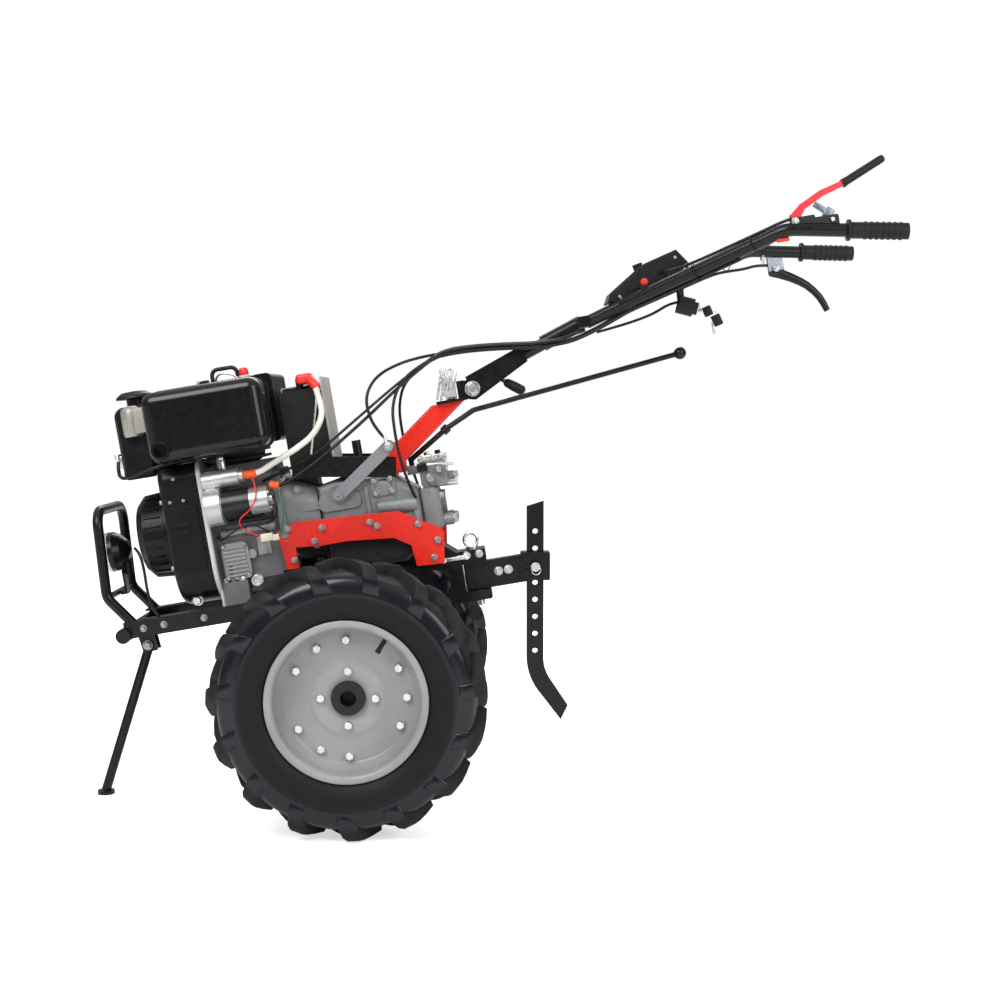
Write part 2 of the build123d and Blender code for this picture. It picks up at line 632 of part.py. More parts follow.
# Fuel tank over the fan housing, its front wall hanging lower, and the mushroom cap
TANK_FRONT = FAN_FRONT - 78
TANK_TOP = FAN_TOP + 138
CAP_AFT = TANK_FRONT + 38
with BuildPart() as fuel_tank:
    with BuildSketch(side(-FAN_HALF - 15)) as tank_side:
        with BuildLine():
            Polyline(
                (TANK_FRONT, TANK_TOP - TANK_H), (TANK_FRONT, TANK_TOP), (TANK_FRONT + TANK_L, TANK_TOP),
                (TANK_FRONT + TANK_L, FAN_TOP + 7), (FAN_FRONT - 6, FAN_TOP + 7),
                (FAN_FRONT - 6, TANK_TOP - TANK_H), close=True,
            )
        make_face()
        fillet(tank_side.vertices().group_by(Axis.Y)[-1], 22)
        fillet(tank_side.vertices().group_by(Axis.Y)[0], 10)
    extrude(amount=FAN_HALF * 2 - 42)
    chamfer(fuel_tank.faces().sort_by(Axis.Y)[-1].edges(), 7)
    chamfer(fuel_tank.faces().sort_by(Axis.Y)[0].edges(), 7)
    slab(FAN_FRONT + 12, FAN_FRONT + 44, FAN_TOP - 3, FAN_TOP + 9, -FAN_HALF * 0.8, FAN_HALF * 0.4)
    bar(at(TANK_FRONT - 12, 58, TANK_TOP - 106), at(TANK_FRONT + 8, 58, TANK_TOP - 106), 7)
with BuildPart() as fuel_cap:
    with BuildSketch(side(FAN_HALF * 0.2)):
        with BuildLine():
            Polyline(
                (CAP_AFT, TANK_TOP), (CAP_AFT + CAP_R * 0.45, TANK_TOP),
                (CAP_AFT + CAP_R * 0.45, TANK_TOP + 16), (CAP_AFT + CAP_R, TANK_TOP + 18),
                (CAP_AFT + CAP_R - 2, TANK_TOP + 24),
                (CAP_AFT + CAP_R * 0.66, TANK_TOP + 32), (CAP_AFT, TANK_TOP + 34), close=True,
            )
        make_face()
    revolve(axis=Axis(at(CAP_AFT, FAN_HALF * 0.2, 0), UP))

# Muffler: rounded drum with its seam flange, end creases, outlet and the pipe from the head
MUF_IN = BLOCK_HALF + 8
MUF_OUT = MUF_IN + MUFFLER_W
MUF_REAR = FLANGE_AFT + 22
MUF_FRONT = MUF_REAR - MUFFLER_L
MUF_LOW = MUFFLER_UP - MUFFLER_H / 2
MUF_HIGH = MUFFLER_UP + MUFFLER_H / 2
OUTLET_AFT = MUF_FRONT + 29
OUTLET_UP = MUF_LOW + 27
with BuildPart() as muffler:
    slab(MUF_FRONT, MUF_REAR, MUF_LOW, MUF_HIGH, MUF_IN, MUF_OUT, 26)
    fillet(muffler.edges().filter_by(lambda e: e.center().Y > MUF_OUT - 2), 24)
    slab(MUF_FRONT - 4, MUF_REAR + 4, MUF_LOW - 4, MUF_HIGH + 4, MUF_IN + 3, MUF_IN + 7, 30)
    for aft in (MUF_REAR - 38, MUF_REAR - 24):
        slab(aft, aft + 5, MUF_LOW + 20, MUF_HIGH - 20, MUF_OUT - 6, MUF_OUT + 1.5)
    bar(at(OUTLET_AFT, MUF_OUT - 8, OUTLET_UP), at(OUTLET_AFT, MUF_OUT + 10, OUTLET_UP), OUTLET_R + 4)
    bar(
        at(OUTLET_AFT, MUF_OUT + 10 - OUTLET_L, OUTLET_UP), at(OUTLET_AFT, MUF_OUT + 10, OUTLET_UP),
        OUTLET_R, mode=Mode.SUBTRACT,
    )
    bar(at(HEAD_AFT, 66, HEAD_TOP - 22), at(HEAD_AFT, MUF_IN + 4, HEAD_TOP - 22), 17)

# Air cleaner: canister on the right and the intake box behind the head
with BuildPart() as air_cleaner:
    slab(HEAD_AFT - 40, HEAD_AFT + 90, HEAD_TOP - 100, HEAD_TOP + 20, -196, -84, 30)
    chamfer(air_cleaner.faces().sort_by(Axis.Y)[0].edges(), 14)
    slab(HEAD_AFT + 64, HEAD_AFT + 108, HEAD_TOP - 104, HEAD_TOP + 46, -150, 72, 12)
    bar(at(HEAD_AFT, -66, HEAD_TOP - 22), at(HEAD_AFT, -90, HEAD_TOP - 22), 20)

# Starter motor: drive end, body and brush cap beside the crankcase, its solenoid above
STARTER_UP = CRANK_UP + 47
STARTER_FRONT = FAN_REAR + STRIP_T
with BuildPart() as starter_motor:
    for start, end, radius in ((0, 34, STARTER_R + 10), (34, 94, STARTER_R), (94, 134, STARTER_R - 2)):
        bar(
            at(STARTER_FRONT + start, STARTER_Y, STARTER_UP),
            at(STARTER_FRONT + end, STARTER_Y, STARTER_UP), radius,
        )
    bar(at(STARTER_FRONT + 134, STARTER_Y, STARTER_UP), at(STARTER_FRONT + 142, STARTER_Y, STARTER_UP), 14)
    add(crankcase.part, mode=Mode.SUBTRACT)
    add(clutch_bell.part, mode=Mode.SUBTRACT)
SOLENOID_UP = STARTER_UP + STARTER_R + SOLENOID_R + 8
SOLENOID_END = STARTER_FRONT + 78
with BuildPart() as starter_solenoid:
    bar(at(STARTER_FRONT, STARTER_Y, SOLENOID_UP), at(SOLENOID_END, STARTER_Y, SOLENOID_UP), SOLENOID_R)
    bar(
        at(SOLENOID_END, STARTER_Y, SOLENOID_UP), at(SOLENOID_END + 10, STARTER_Y, SOLENOID_UP),
        SOLENOID_R - 5,
    )
    slab(
        STARTER_FRONT + 4, STARTER_FRONT + 26, STARTER_UP + 30, SOLENOID_UP, STARTER_Y - 12, STARTER_Y + 12
    )
    add(starter_motor.part, mode=Mode.SUBTRACT)
    add(crankcase.part, mode=Mode.SUBTRACT)

# Ribbed governor cover low on the crankcase
with BuildPart() as side_cover:
    slab(FAN_REAR + 20, FAN_REAR + 78, CRANK_UP - 116, CRANK_UP - 36, BLOCK_HALF, BLOCK_HALF + 14, 12)
    for k in range(8):
        up = CRANK_UP - 108 + 8.6 * k
        slab(FAN_REAR + 26, FAN_REAR + 72, up, up + 3.6, BLOCK_HALF + 10, BLOCK_HALF + 19)
    bar(at(FAN_REAR + 84, BLOCK_HALF, CRANK_UP - 66), at(FAN_REAR + 84, BLOCK_HALF + 10, CRANK_UP - 66), 10)
    add(crankcase.part, mode=Mode.SUBTRACT)

# Battery tray: floor under the battery and long upturned sides that lie level when parked
TRAY_HALF = CASE_HALF + 8
TRAY_FRONT = FLANGE_AFT + 24
TRAY_STEP = CASE_KNEE - 120
with BuildPart() as battery_tray:
    slab(TRAY_FRONT, TRAY_STEP, TRAY_UP - 6, TRAY_UP, TRAY_T / 2 - TRAY_HALF, TRAY_HALF - TRAY_T / 2)
    for y in (TRAY_HALF - TRAY_T, -TRAY_HALF):
        with BuildSketch(side(y)):
            with BuildLine():
                Polyline(
                    (TRAY_STEP - 70, TRAY_UP - 3), (TRAY_STEP - 63, TRAY_UP - 3 + TRAY_SIDE),
                    (TRAY_STEP + 133, TRAY_UP + TRAY_SIDE - 36), (TRAY_STEP + 126, TRAY_UP - 36),
                    close=True,
                )
            make_face()
        extrude(amount=TRAY_T)
    with BuildSketch(side()):
        with BuildLine():
            Polyline(
                (TRAY_STEP - 4, TRAY_UP - 12), (TRAY_STEP - 4, TRAY_UP - 4),
                (TRAY_STEP + 50, TRAY_UP - 14.5), (TRAY_STEP + 50, TRAY_UP - 19.5), close=True,
            )
        make_face()
    extrude(amount=TRAY_HALF - TRAY_T / 2, both=True)
    slab(FLANGE_AFT + 38, FLANGE_AFT + 88, TRAY_UP - 30, TRAY_UP - 5, -40, 40)
    bar(at(TRAY_STEP + 44, 0, TRAY_UP - 18), at(TRAY_STEP + 44, 0, TRAY_UP + 56), 10)
    add(clutch_bell.part, mode=Mode.SUBTRACT)
    add(gearbox_case.part, mode=Mode.SUBTRACT)
BATTERY_FRONT = FLANGE_AFT + 42
BATTERY_TOP = TRAY_UP + BATTERY_H
BATTERY_REAR = BATTERY_FRONT + BATTERY_L
POST_Y = BATTERY_W / 2 - 26
LEAD_END = at(SOLENOID_END + 10, STARTER_Y, SOLENOID_UP)
LEAD_ROUTE = [
    at(BATTERY_REAR - 28, POST_Y + 15, BATTERY_TOP + 18),
    at(BATTERY_REAR - 10, POST_Y + 34, BATTERY_TOP + 10),
    at(BATTERY_REAR + 1, POST_Y + 61, BATTERY_TOP - 59),
    at(BATTERY_REAR - 26, STARTER_Y + 2, BATTERY_TOP - 101),
    at(BATTERY_REAR - 71, STARTER_Y + 8, BATTERY_TOP - 125),
    LEAD_END - FWD * 71 + UP * 16 + Vector(0, 6, 0), LEAD_END - FWD * 33, LEAD_END,
]
with BuildPart() as battery:
    slab(BATTERY_FRONT, BATTERY_REAR, TRAY_UP, BATTERY_TOP, -BATTERY_W / 2, BATTERY_W / 2, 4)
    slab(
        BATTERY_FRONT + 8, BATTERY_REAR - 8, BATTERY_TOP - 2, BATTERY_TOP + 8, -BATTERY_W / 3, BATTERY_W / 3
    )
    for y in (POST_Y, -POST_Y):
        bar(at(BATTERY_FRONT + 46, y, BATTERY_TOP - 2), at(BATTERY_FRONT + 46, y, BATTERY_TOP + 24), 8)
    bar(LEAD_ROUTE[0] - (LEAD_ROUTE[1] - LEAD_ROUTE[0]) * 0.9, LEAD_ROUTE[0], LEAD_R + 1)
with BuildPart() as battery_plate:
    slab(BATTERY_REAR, BATTERY_REAR + 4, TRAY_UP, BATTERY_TOP + 22, -TRAY_HALF + 8, TRAY_HALF - 8)
    slab(BATTERY_FRONT - 4, BATTERY_REAR, BATTERY_TOP + 8, BATTERY_TOP + 12, -16, 16)
    slab(BATTERY_FRONT - 4, BATTERY_FRONT, TRAY_UP + 100, BATTERY_TOP + 12, -16, 16)

# Starter lead: one held loop from the battery's near post down to the solenoid
with BuildPart() as starter_lead:
    tube(LEAD_ROUTE, cord_bends(LEAD_ROUTE), LEAD_R)
    add(battery.part, mode=Mode.SUBTRACT)

# Clutch arm on the left of the case, its pivot boss and the clevis at its top
ARM_Y = CASE_HALF + 10
ARM_FOOT = (BELL_REAR + 46, CASE_TOP - 31)
ARM_TOP = (BELL_REAR + 171, CASE_TOP + 57)
ARM_RUN = (ARM_TOP[0] - ARM_FOOT[0], ARM_TOP[1] - ARM_FOOT[1])
with BuildPart() as clutch_arm:
    with BuildSketch(side(ARM_Y)):
        with Locations(
            Location(
                ((ARM_FOOT[0] + ARM_TOP[0]) / 2, (ARM_FOOT[1] + ARM_TOP[1]) / 2),
                degrees(atan2(ARM_RUN[1], ARM_RUN[0])),
            )
        ):
            SlotCenterToCenter(hypot(*ARM_RUN), 27)
    extrude(amount=8)
    bar(at(ARM_FOOT[0], CASE_HALF - 10, ARM_FOOT[1]), at(ARM_FOOT[0], ARM_Y + 12, ARM_FOOT[1]), 10)
    bar(at(ARM_TOP[0], ARM_Y, ARM_TOP[1]), at(ARM_TOP[0], ARM_Y + 14, ARM_TOP[1]), 9)
    add(gearbox_case.part, mode=Mode.SUBTRACT)

# Handlebar column: square tube leaning aft from its foot on the gearbox roof
COL_LOW = at(CASE_KNEE, 0, CASE_TOP + 24)
COL_HIGH = at(TILT_AFT - 51, 0, TILT_UP - 16)
HEAD_PLATE = TILT_UP - 22
with BuildPart() as column:
    with BuildSketch(Plane(COL_LOW, x_dir=(0, 1, 0), z_dir=COL_HIGH - COL_LOW)):
        RectangleRounded(COLUMN_W, COLUMN_W, 5)
    extrude(amount=(COL_HIGH - COL_LOW).length + COLUMN_W)
    split(bisect_by=deck(HEAD_PLATE), keep=Keep.BOTTOM)
    slab(CASE_KNEE - 66, CASE_KNEE + 26, CASE_TOP - 6, CASE_TOP + 4, -40, 40)
    slab(CASE_KNEE - 10, CASE_KNEE + 26, CASE_TOP - 6, CASE_TOP + 62, -COLUMN_W / 2, COLUMN_W / 2)
    add(battery_tray.part, mode=Mode.SUBTRACT)
    add(gearbox_case.part, mode=Mode.SUBTRACT)
    add(shift_box.part, mode=Mode.SUBTRACT)

# Clamp head: plate on the column, toothed post, lug and nuts of the tilt bolt
POST_AFT = TILT_AFT - 52
with BuildPart() as clamp_head:
    slab(TILT_AFT - 84, TILT_AFT - 18, HEAD_PLATE, HEAD_PLATE + 6, -34, 34)
    with BuildSketch(side()):
        with BuildLine():
            Polyline(
                (TILT_AFT - 34, HEAD_PLATE + 4), (TILT_AFT - 34, TILT_UP + 22),
                (TILT_AFT - 20, TILT_UP + 22), (TILT_AFT, TILT_UP + 18), (TILT_AFT, TILT_UP - 18),
                (TILT_AFT - 18, HEAD_PLATE), close=True,
            )
        make_face()
        with Locations((TILT_AFT, TILT_UP)):
            Circle(18)
    extrude(amount=LUG_HALF - SIDE_PLAY, both=True)
    bar(at(POST_AFT, 0, HEAD_PLATE + 4), at(POST_AFT, 0, TILT_UP + 52), 9)
    for k in range(6):
        bar(at(POST_AFT, 0, TILT_UP - 12 + 10 * k), at(POST_AFT, 0, TILT_UP - 7 + 10 * k), 13)
    with BuildSketch(side()):
        with Locations((TILT_AFT, TILT_UP)):
            Circle(TILT_PIN_R)
    extrude(amount=LUG_HALF + CHEEK_T + 1, both=True)
    for y in (LUG_HALF + CHEEK_T + SIDE_PLAY, -LUG_HALF - CHEEK_T - SIDE_PLAY - 8):
        with BuildSketch(side(y)):
            with Locations((TILT_AFT, TILT_UP)):
                RegularPolygon(TILT_PIN_R + 5, 6)
        extrude(amount=8)

# Gear lever: from the turret along under the column, through its guide and aft to the ball
with BuildPart() as gear_lever:
    gear_run = tube(
        [at(TURRET_AFT, 0, SHIFT_TOP - 6), at(TURRET_AFT, 0, SHIFT_TOP + 7),
         at(TILT_AFT - 71, 0, TILT_UP - 77), at(TILT_AFT - 6, 0, TILT_UP - 47),
         at(TILT_AFT + 468, 0, TILT_UP + 2)], 9, 6,
    )
    with Locations(gear_run @ 1):
        Sphere(14)
    bar(at(TILT_AFT - 81, 0, TILT_UP - 84), at(TILT_AFT - 68, 0, TILT_UP - 75), 10)

# Rear hitch: forked block under the rear housing, ring pin through both jaws
JAW_LOW = DRAW_UP - DRAW_H / 2 - SIDE_PLAY
JAW_HIGH = DRAW_UP + DRAW_H / 2 + SIDE_PLAY
HITCH_FRONT = HITCH_AFT - 60
HITCH_REAR = HITCH_AFT + 28
with BuildPart() as hitch_bracket:
    slab(HITCH_FRONT, HITCH_REAR, JAW_HIGH, JAW_HIGH + 30, -HITCH_HALF, HITCH_HALF, 4)
    slab(HITCH_FRONT, HITCH_REAR, JAW_LOW - 22, JAW_LOW, -HITCH_HALF, HITCH_HALF, 4)
    slab(HITCH_FRONT, HITCH_FRONT + 32, JAW_LOW - 22, JAW_HIGH + 30, -HITCH_HALF, HITCH_HALF, 4)
    with BuildSketch(side()):
        with BuildLine():
            Polyline(
                (CASE_REAR - 36, CASE_LOW), (CASE_REAR - 46, CASE_LOW + 36), (CASE_REAR + 9, CASE_LOW + 36),
                (HITCH_FRONT + 32, JAW_HIGH + 24), (HITCH_FRONT + 32, JAW_HIGH - 6),
                (CASE_REAR + 4, JAW_HIGH), (CASE_REAR - 78, CASE_LOW - 8), close=True,
            )
        make_face()
    extrude(amount=HITCH_HALF + 14, both=True)
    for y in (HITCH_HALF - 4, -HITCH_HALF - 6):
        slab(HITCH_AFT - 24, HITCH_REAR - 4, JAW_HIGH + 4, JAW_HIGH + 24, y, y + 10)
    bar(at(HITCH_AFT, 0, JAW_LOW - 40), at(HITCH_AFT, 0, JAW_HIGH + 60), HITCH_PIN_R, mode=Mode.SUBTRACT)
    add(gearbox_case.part, mode=Mode.SUBTRACT)
    add(gearbox_rear.part, mode=Mode.SUBTRACT)
    add(final_drive.part, mode=Mode.SUBTRACT)
    add(side_plate_left.part, mode=Mode.SUBTRACT)
    add(side_plate_right.part, mode=Mode.SUBTRACT)
RING_UP = JAW_HIGH + 50
with BuildPart() as hitch_pin:
    bar(at(HITCH_AFT, 0, JAW_LOW - 36), at(HITCH_AFT, 0, JAW_HIGH + 36), HITCH_PIN_R)
    bar(at(HITCH_AFT, 0, JAW_HIGH + 30), at(HITCH_AFT, 0, JAW_HIGH + 36), HITCH_PIN_R + 5)
    with BuildSketch(across(HITCH_AFT, 0, RING_UP)):
        with Locations((0, 15)):
            RegularPolygon(4, 8)
    revolve(axis=Axis(at(HITCH_AFT, 0, RING_UP), (0, 1, 0)))
    bar(at(HITCH_AFT, -12, JAW_LOW - 31), at(HITCH_AFT, 16, JAW_LOW - 31), 2.2)

# Depth coulter: flat bar with a row of holes and a curved tip, pinned in the drawbar's holder
HOLDER = at(HOLDER_AFT, 0, HOLDER_UP)
HOLE_TOP = HOLDER.Z + PIN_HOLE * HOLE_PITCH
COULTER_TOP = HOLE_TOP + 63
COULTER_BEND = HOLE_TOP - (HOLES + 0.1) * HOLE_PITCH
HOLDER_VIEW = Plane((HOLDER.X, 0, 0), x_dir=(-1, 0, 0), z_dir=(0, 1, 0))
with BuildPart() as coulter:
    with BuildSketch(HOLDER_VIEW) as coulter_side:
        with BuildLine():
            Polyline(
                (-COULTER_W / 2, COULTER_TOP - 7), (COULTER_W / 2, COULTER_TOP + 5),
                (COULTER_W / 2, COULTER_BEND), (2 * COULTER_W - 2, COULTER_BEND - 82),
                (1.5 * COULTER_W + 1, COULTER_BEND - 114), (-COULTER_W / 2, COULTER_BEND - 14), close=True,
            )
        make_face()
        for corner, curve in (
            ((COULTER_W / 2, COULTER_BEND), COULTER_CURVE),
            ((-COULTER_W / 2, COULTER_BEND - 14), COULTER_CURVE + COULTER_W),
        ):
            fillet(coulter_side.vertices().sort_by_distance(corner)[0], curve)
        with Locations(*[(0, HOLE_TOP - HOLE_PITCH * k) for k in range(HOLES)]):
            Circle(HOLE_R, mode=Mode.SUBTRACT)
    extrude(amount=COULTER_T / 2, both=True)
HOLDER_HALF = COULTER_T / 2 + HOLDER_WALL
with BuildPart() as coulter_pin:
    bar(HOLDER - Vector(0, HOLDER_HALF + 19, 0), HOLDER + Vector(0, HOLDER_HALF + 19, 0), HOLE_R)
    bar(HOLDER + Vector(0, HOLDER_HALF + 13, 0), HOLDER + Vector(0, HOLDER_HALF + 19, 0), HOLE_R + 4)
with BuildPart() as drawbar:
    slab(
        HITCH_AFT - 26, HOLDER_AFT - 14, DRAW_UP - DRAW_H / 2, DRAW_UP + DRAW_H / 2,
        -TONGUE_HALF, TONGUE_HALF, 4,
    )
    with BuildSketch(HOLDER_VIEW):
        with Locations((0, HOLDER.Z)):
            RectangleRounded(66, DRAW_H + 2, 4)
    extrude(amount=HOLDER_HALF, both=True)
    for y in (HOLDER_HALF - 2, -HOLDER_HALF - 7):
        with BuildSketch(Plane((HOLDER.X, y, 0), x_dir=(-1, 0, 0), z_dir=(0, 1, 0))):
            with Locations((-20, HOLDER.Z + 16), (-20, HOLDER.Z - 16)):
                RegularPolygon(9, 6)
        extrude(amount=9)
    with BuildSketch(HOLDER_VIEW):
        with Locations((0, HOLDER.Z)):
            Rectangle(COULTER_W, DRAW_H + 20)
    extrude(amount=COULTER_T / 2, both=True, mode=Mode.SUBTRACT)
    add(hitch_pin.part, mode=Mode.SUBTRACT)
    add(coulter_pin.part, mode=Mode.SUBTRACT)
    add(hitch_bracket.part, mode=Mode.SUBTRACT)

# Handlebar arm: clevis on the tilt bolt, tapering to a sleeve and a cross plate, with the clamp handle
ARM_TUBE = at(TILT_AFT + 120, 0, TILT_UP + 55)
SLEEVE = at(TILT_AFT + 170, 0, TILT_UP + 73)
ARM_END = at(TILT_AFT + 262, 0, TILT_UP + 104)
with BuildPart() as handlebar_arm:
    for y in (LUG_HALF + CHEEK_T / 2, -LUG_HALF - CHEEK_T / 2):
        with BuildSketch(side(y)):
            with BuildLine():
                Polyline(
                    (TILT_AFT - 12, TILT_UP + 28), (TILT_AFT + 2, TILT_UP - 26),
                    (TILT_AFT + 130, TILT_UP + 40), (TILT_AFT + 126, TILT_UP + 78), close=True,
                )
            make_face()
            with Locations((TILT_AFT, TILT_UP)):
                Circle(24)
                Circle(TILT_PIN_R + RUNNING, mode=Mode.SUBTRACT)
        extrude(amount=CHEEK_T / 2, both=True)
    with BuildSketch(side()):
        with BuildLine():
            Polyline(
                (TILT_AFT + 66, TILT_UP + 40), (TILT_AFT + 70, TILT_UP + 18),
                (TILT_AFT + 130, TILT_UP + 40), (TILT_AFT + 126, TILT_UP + 74), close=True,
            )
        make_face()
    extrude(amount=LUG_HALF, both=True)
    bar(ARM_TUBE, ARM_END, BAR_R)
    bar(SLEEVE, ARM_END, BAR_R + 4)
    slab(TILT_AFT + 250, TILT_AFT + 278, TILT_UP + 92, TILT_UP + 116, -52, 52, 6)
    bar(
        at(TILT_AFT + 64, -LUG_HALF - 3, TILT_UP + 12), at(TILT_AFT + 96, -LUG_HALF - 16, TILT_UP - 12), 4.5
    )
    bar(
        at(TILT_AFT + 90, -LUG_HALF - 14, TILT_UP - 8), at(TILT_AFT + 108, -LUG_HALF - 21, TILT_UP - 21), 7
    )

# Handlebar tubes with a bend ahead of each grip
BAR_FRONT = (TILT_AFT + 278, TILT_UP + 104)
BEND = (TILT_AFT + 696, TILT_UP + 215)
GRIP_REAR = (TILT_AFT + 937, TILT_UP + 170)
with BuildPart() as bar_left:
    bar_run = tube(
        [at(BAR_FRONT[0], 34, BAR_FRONT[1]), at(BAR_FRONT[0] + 72, 60, BAR_FRONT[1] + 21),
         at(BEND[0], GRIP_Y - 8, BEND[1]), at(GRIP_REAR[0], GRIP_Y, GRIP_REAR[1])], 60, BAR_R,
    )
    add(handlebar_arm.part, mode=Mode.SUBTRACT)
with BuildPart() as bar_right:
    mirror(bar_left.part, about=Plane.XZ)
GRIP_DIR = bar_run % 1
GRIP_END = bar_run @ 1 + GRIP_DIR * 4
with BuildPart() as grip_left:
    bar(GRIP_END - GRIP_DIR * GRIP_L, GRIP_END, GRIP_R)
    bar(GRIP_END - GRIP_DIR * GRIP_L, GRIP_END - GRIP_DIR * (GRIP_L - 6), GRIP_R + 5)
    for k in range(7):
        rib = GRIP_END - GRIP_DIR * (14 + 12 * k)
        bar(rib - GRIP_DIR * 5, rib, GRIP_R + 1.5)
    add(bar_left.part, mode=Mode.SUBTRACT)
with BuildPart() as grip_right:
    mirror(grip_left.part, about=Plane.XZ)

# Control box slung between the bars on a cross strap
BOX_AFT = TILT_AFT + 322
BOX_UP = TILT_UP + 140
with BuildPart() as control_box:
    with BuildSketch(side(-BOX_HALF)):
        with BuildLine():
            Polyline(
                (BOX_AFT, BOX_UP - 4), (BOX_AFT + 10, BOX_UP + 16), (BOX_AFT + 76, BOX_UP + 58),
                (BOX_AFT + 92, BOX_UP + 66), (BOX_AFT + 165, BOX_UP + 85), (BOX_AFT + 190, BOX_UP + 50),
                (BOX_AFT + 178, BOX_UP + 28), (BOX_AFT + 88, BOX_UP - 2), (BOX_AFT + 30, BOX_UP - 12),
                close=True,
            )
        make_face()
    extrude(amount=2 * BOX_HALF)
    chamfer(control_box.faces().sort_by(Axis.Y)[-1].edges(), 4)
    chamfer(control_box.faces().sort_by(Axis.Y)[0].edges(), 4)
    slab(BOX_AFT + 72, BOX_AFT + 100, BOX_UP + 4, BOX_UP + 18, -GRIP_Y * 0.4, GRIP_Y * 0.4)
    bar(at(BOX_AFT + 84, 24, BOX_UP + 50), at(BOX_AFT + 80, 24, BOX_UP + 70), 11)
    add(bar_left.part, mode=Mode.SUBTRACT)
    add(bar_right.part, mode=Mode.SUBTRACT)
KEY_Y = BOX_HALF - 14
with BuildPart() as key_switch:
    bar(at(BOX_AFT + 164, KEY_Y, BOX_UP + 54), at(BOX_AFT + 160, KEY_Y, BOX_UP - 28), 8)
    bar(at(BOX_AFT + 152, KEY_Y, BOX_UP - 32), at(BOX_AFT + 184, KEY_Y, BOX_UP - 46), 20)
    bar(at(BOX_AFT + 184, KEY_Y, BOX_UP - 46), at(BOX_AFT + 192, KEY_Y, BOX_UP - 49.5), 14)
    add(control_box.part, mode=Mode.SUBTRACT)

# Clutch lever over the left bar: clamp band, pressed lever and its handle
LEVER_AFT = BEND[0] + 20
LEVER_UP = BEND[1] + 19
LEVER_Y = GRIP_Y - 10
with BuildPart() as clutch_lever:
    slab(LEVER_AFT - 10, LEVER_AFT + 40, BEND[1] - 4, BEND[1] + 20, LEVER_Y - 10, LEVER_Y + 10, 5)
    slab(LEVER_AFT + 30, LEVER_AFT + 88, BEND[1] - 16, BEND[1] + 14, LEVER_Y - 10, LEVER_Y + 10, 5)
    with BuildSketch(side(LEVER_Y - 7)):
        with BuildLine():
            Polyline(
                (LEVER_AFT - 8, LEVER_UP - 6), (LEVER_AFT - 10, LEVER_UP + 8),
                (LEVER_AFT + 12, LEVER_UP + 26), (LEVER_AFT + 58, LEVER_UP + 48),
                (LEVER_AFT + 112, LEVER_UP + 62),
                (LEVER_AFT + 114, LEVER_UP + 51), (LEVER_AFT + 64, LEVER_UP + 36),
                (LEVER_AFT + 22, LEVER_UP + 15), (LEVER_AFT + 8, LEVER_UP - 4), close=True,
            )
        make_face()
    extrude(amount=14)
    bar(at(LEVER_AFT + 106, LEVER_Y, LEVER_UP + 54), at(LEVER_AFT + 198, LEVER_Y, LEVER_UP + 93), 7)
    add(bar_left.part, mode=Mode.SUBTRACT)
    add(grip_left.part, mode=Mode.SUBTRACT)

# Steering-clutch lever under the right bar
STEER_AFT = BEND[0] + 42
with BuildPart() as steering_lever:
    slab(STEER_AFT, STEER_AFT + 36, BEND[1] - 67, BEND[1] - 17, -GRIP_Y - 8, -GRIP_Y + 8, 5)
    tube(
        [at(STEER_AFT + 12, -GRIP_Y, BEND[1] - 58), at(STEER_AFT + 49, -GRIP_Y, BEND[1] - 77),
         at(STEER_AFT + 85, -GRIP_Y, BEND[1] - 102), at(STEER_AFT + 110, -GRIP_Y, BEND[1] - 133),
         at(STEER_AFT + 123, -GRIP_Y, BEND[1] - 167)], 40, 7,
    )
    bar(at(STEER_AFT + 16, -GRIP_Y - 16, BEND[1] - 52), at(STEER_AFT + 16, -GRIP_Y + 16, BEND[1] - 52), 6)
    add(bar_right.part, mode=Mode.SUBTRACT)

NODES = (
    ("tyre_left", tyre_left), ("tyre_right", tyre_right), ("rim_left", rim_left), ("rim_right", rim_right),
    ("hub_left", hub_left), ("hub_right", hub_right), ("half_shaft_left", half_shaft_left),
    ("half_shaft_right", half_shaft_right), ("final_drive", final_drive), ("clutch_bell", clutch_bell),
    ("gearbox_case", gearbox_case), ("gearbox_rear", gearbox_rear), ("shift_box", shift_box),
    ("side_plate_left", side_plate_left), ("side_plate_right", side_plate_right),
    ("cross_tube", cross_tube), ("rail_left", rail_left), ("rail_right", rail_right),
    ("front_guard", front_guard), ("headlamp", headlamp), ("headlamp_lens", headlamp_lens),
    ("stand_bracket", stand_bracket), ("stand_leg", stand_leg), ("crankcase", crankcase),
    ("fan_housing", fan_housing), ("recoil_starter", recoil_starter), ("cylinder", cylinder),
    ("cylinder_head", cylinder_head), ("fuel_tank", fuel_tank), ("fuel_cap", fuel_cap),
    ("muffler", muffler), ("air_cleaner", air_cleaner), ("starter_motor", starter_motor),
    ("starter_solenoid", starter_solenoid), ("side_cover", side_cover), ("battery_tray", battery_tray),
    ("battery", battery), ("battery_plate", battery_plate), ("starter_lead", starter_lead),
    ("clutch_arm", clutch_arm), ("column", column),
    ("clamp_head", clamp_head), ("gear_lever", gear_lever), ("hitch_bracket", hitch_bracket),
    ("hitch_pin", hitch_pin), ("coulter", coulter), ("coulter_pin", coulter_pin), ("drawbar", drawbar),
    ("handlebar_arm", handlebar_arm), ("bar_left", bar_left), ("bar_right", bar_right),
    ("grip_left", grip_left), ("grip_right", grip_right), ("control_box", control_box),
    ("key_switch", key_switch), ("clutch_lever", clutch_lever), ("steering_lever", steering_lever),
)
os.makedirs("parts", exist_ok=True)
for name, node in NODES:
    node.part.label = name
    export_step(node.part, f"parts/{name}.step")
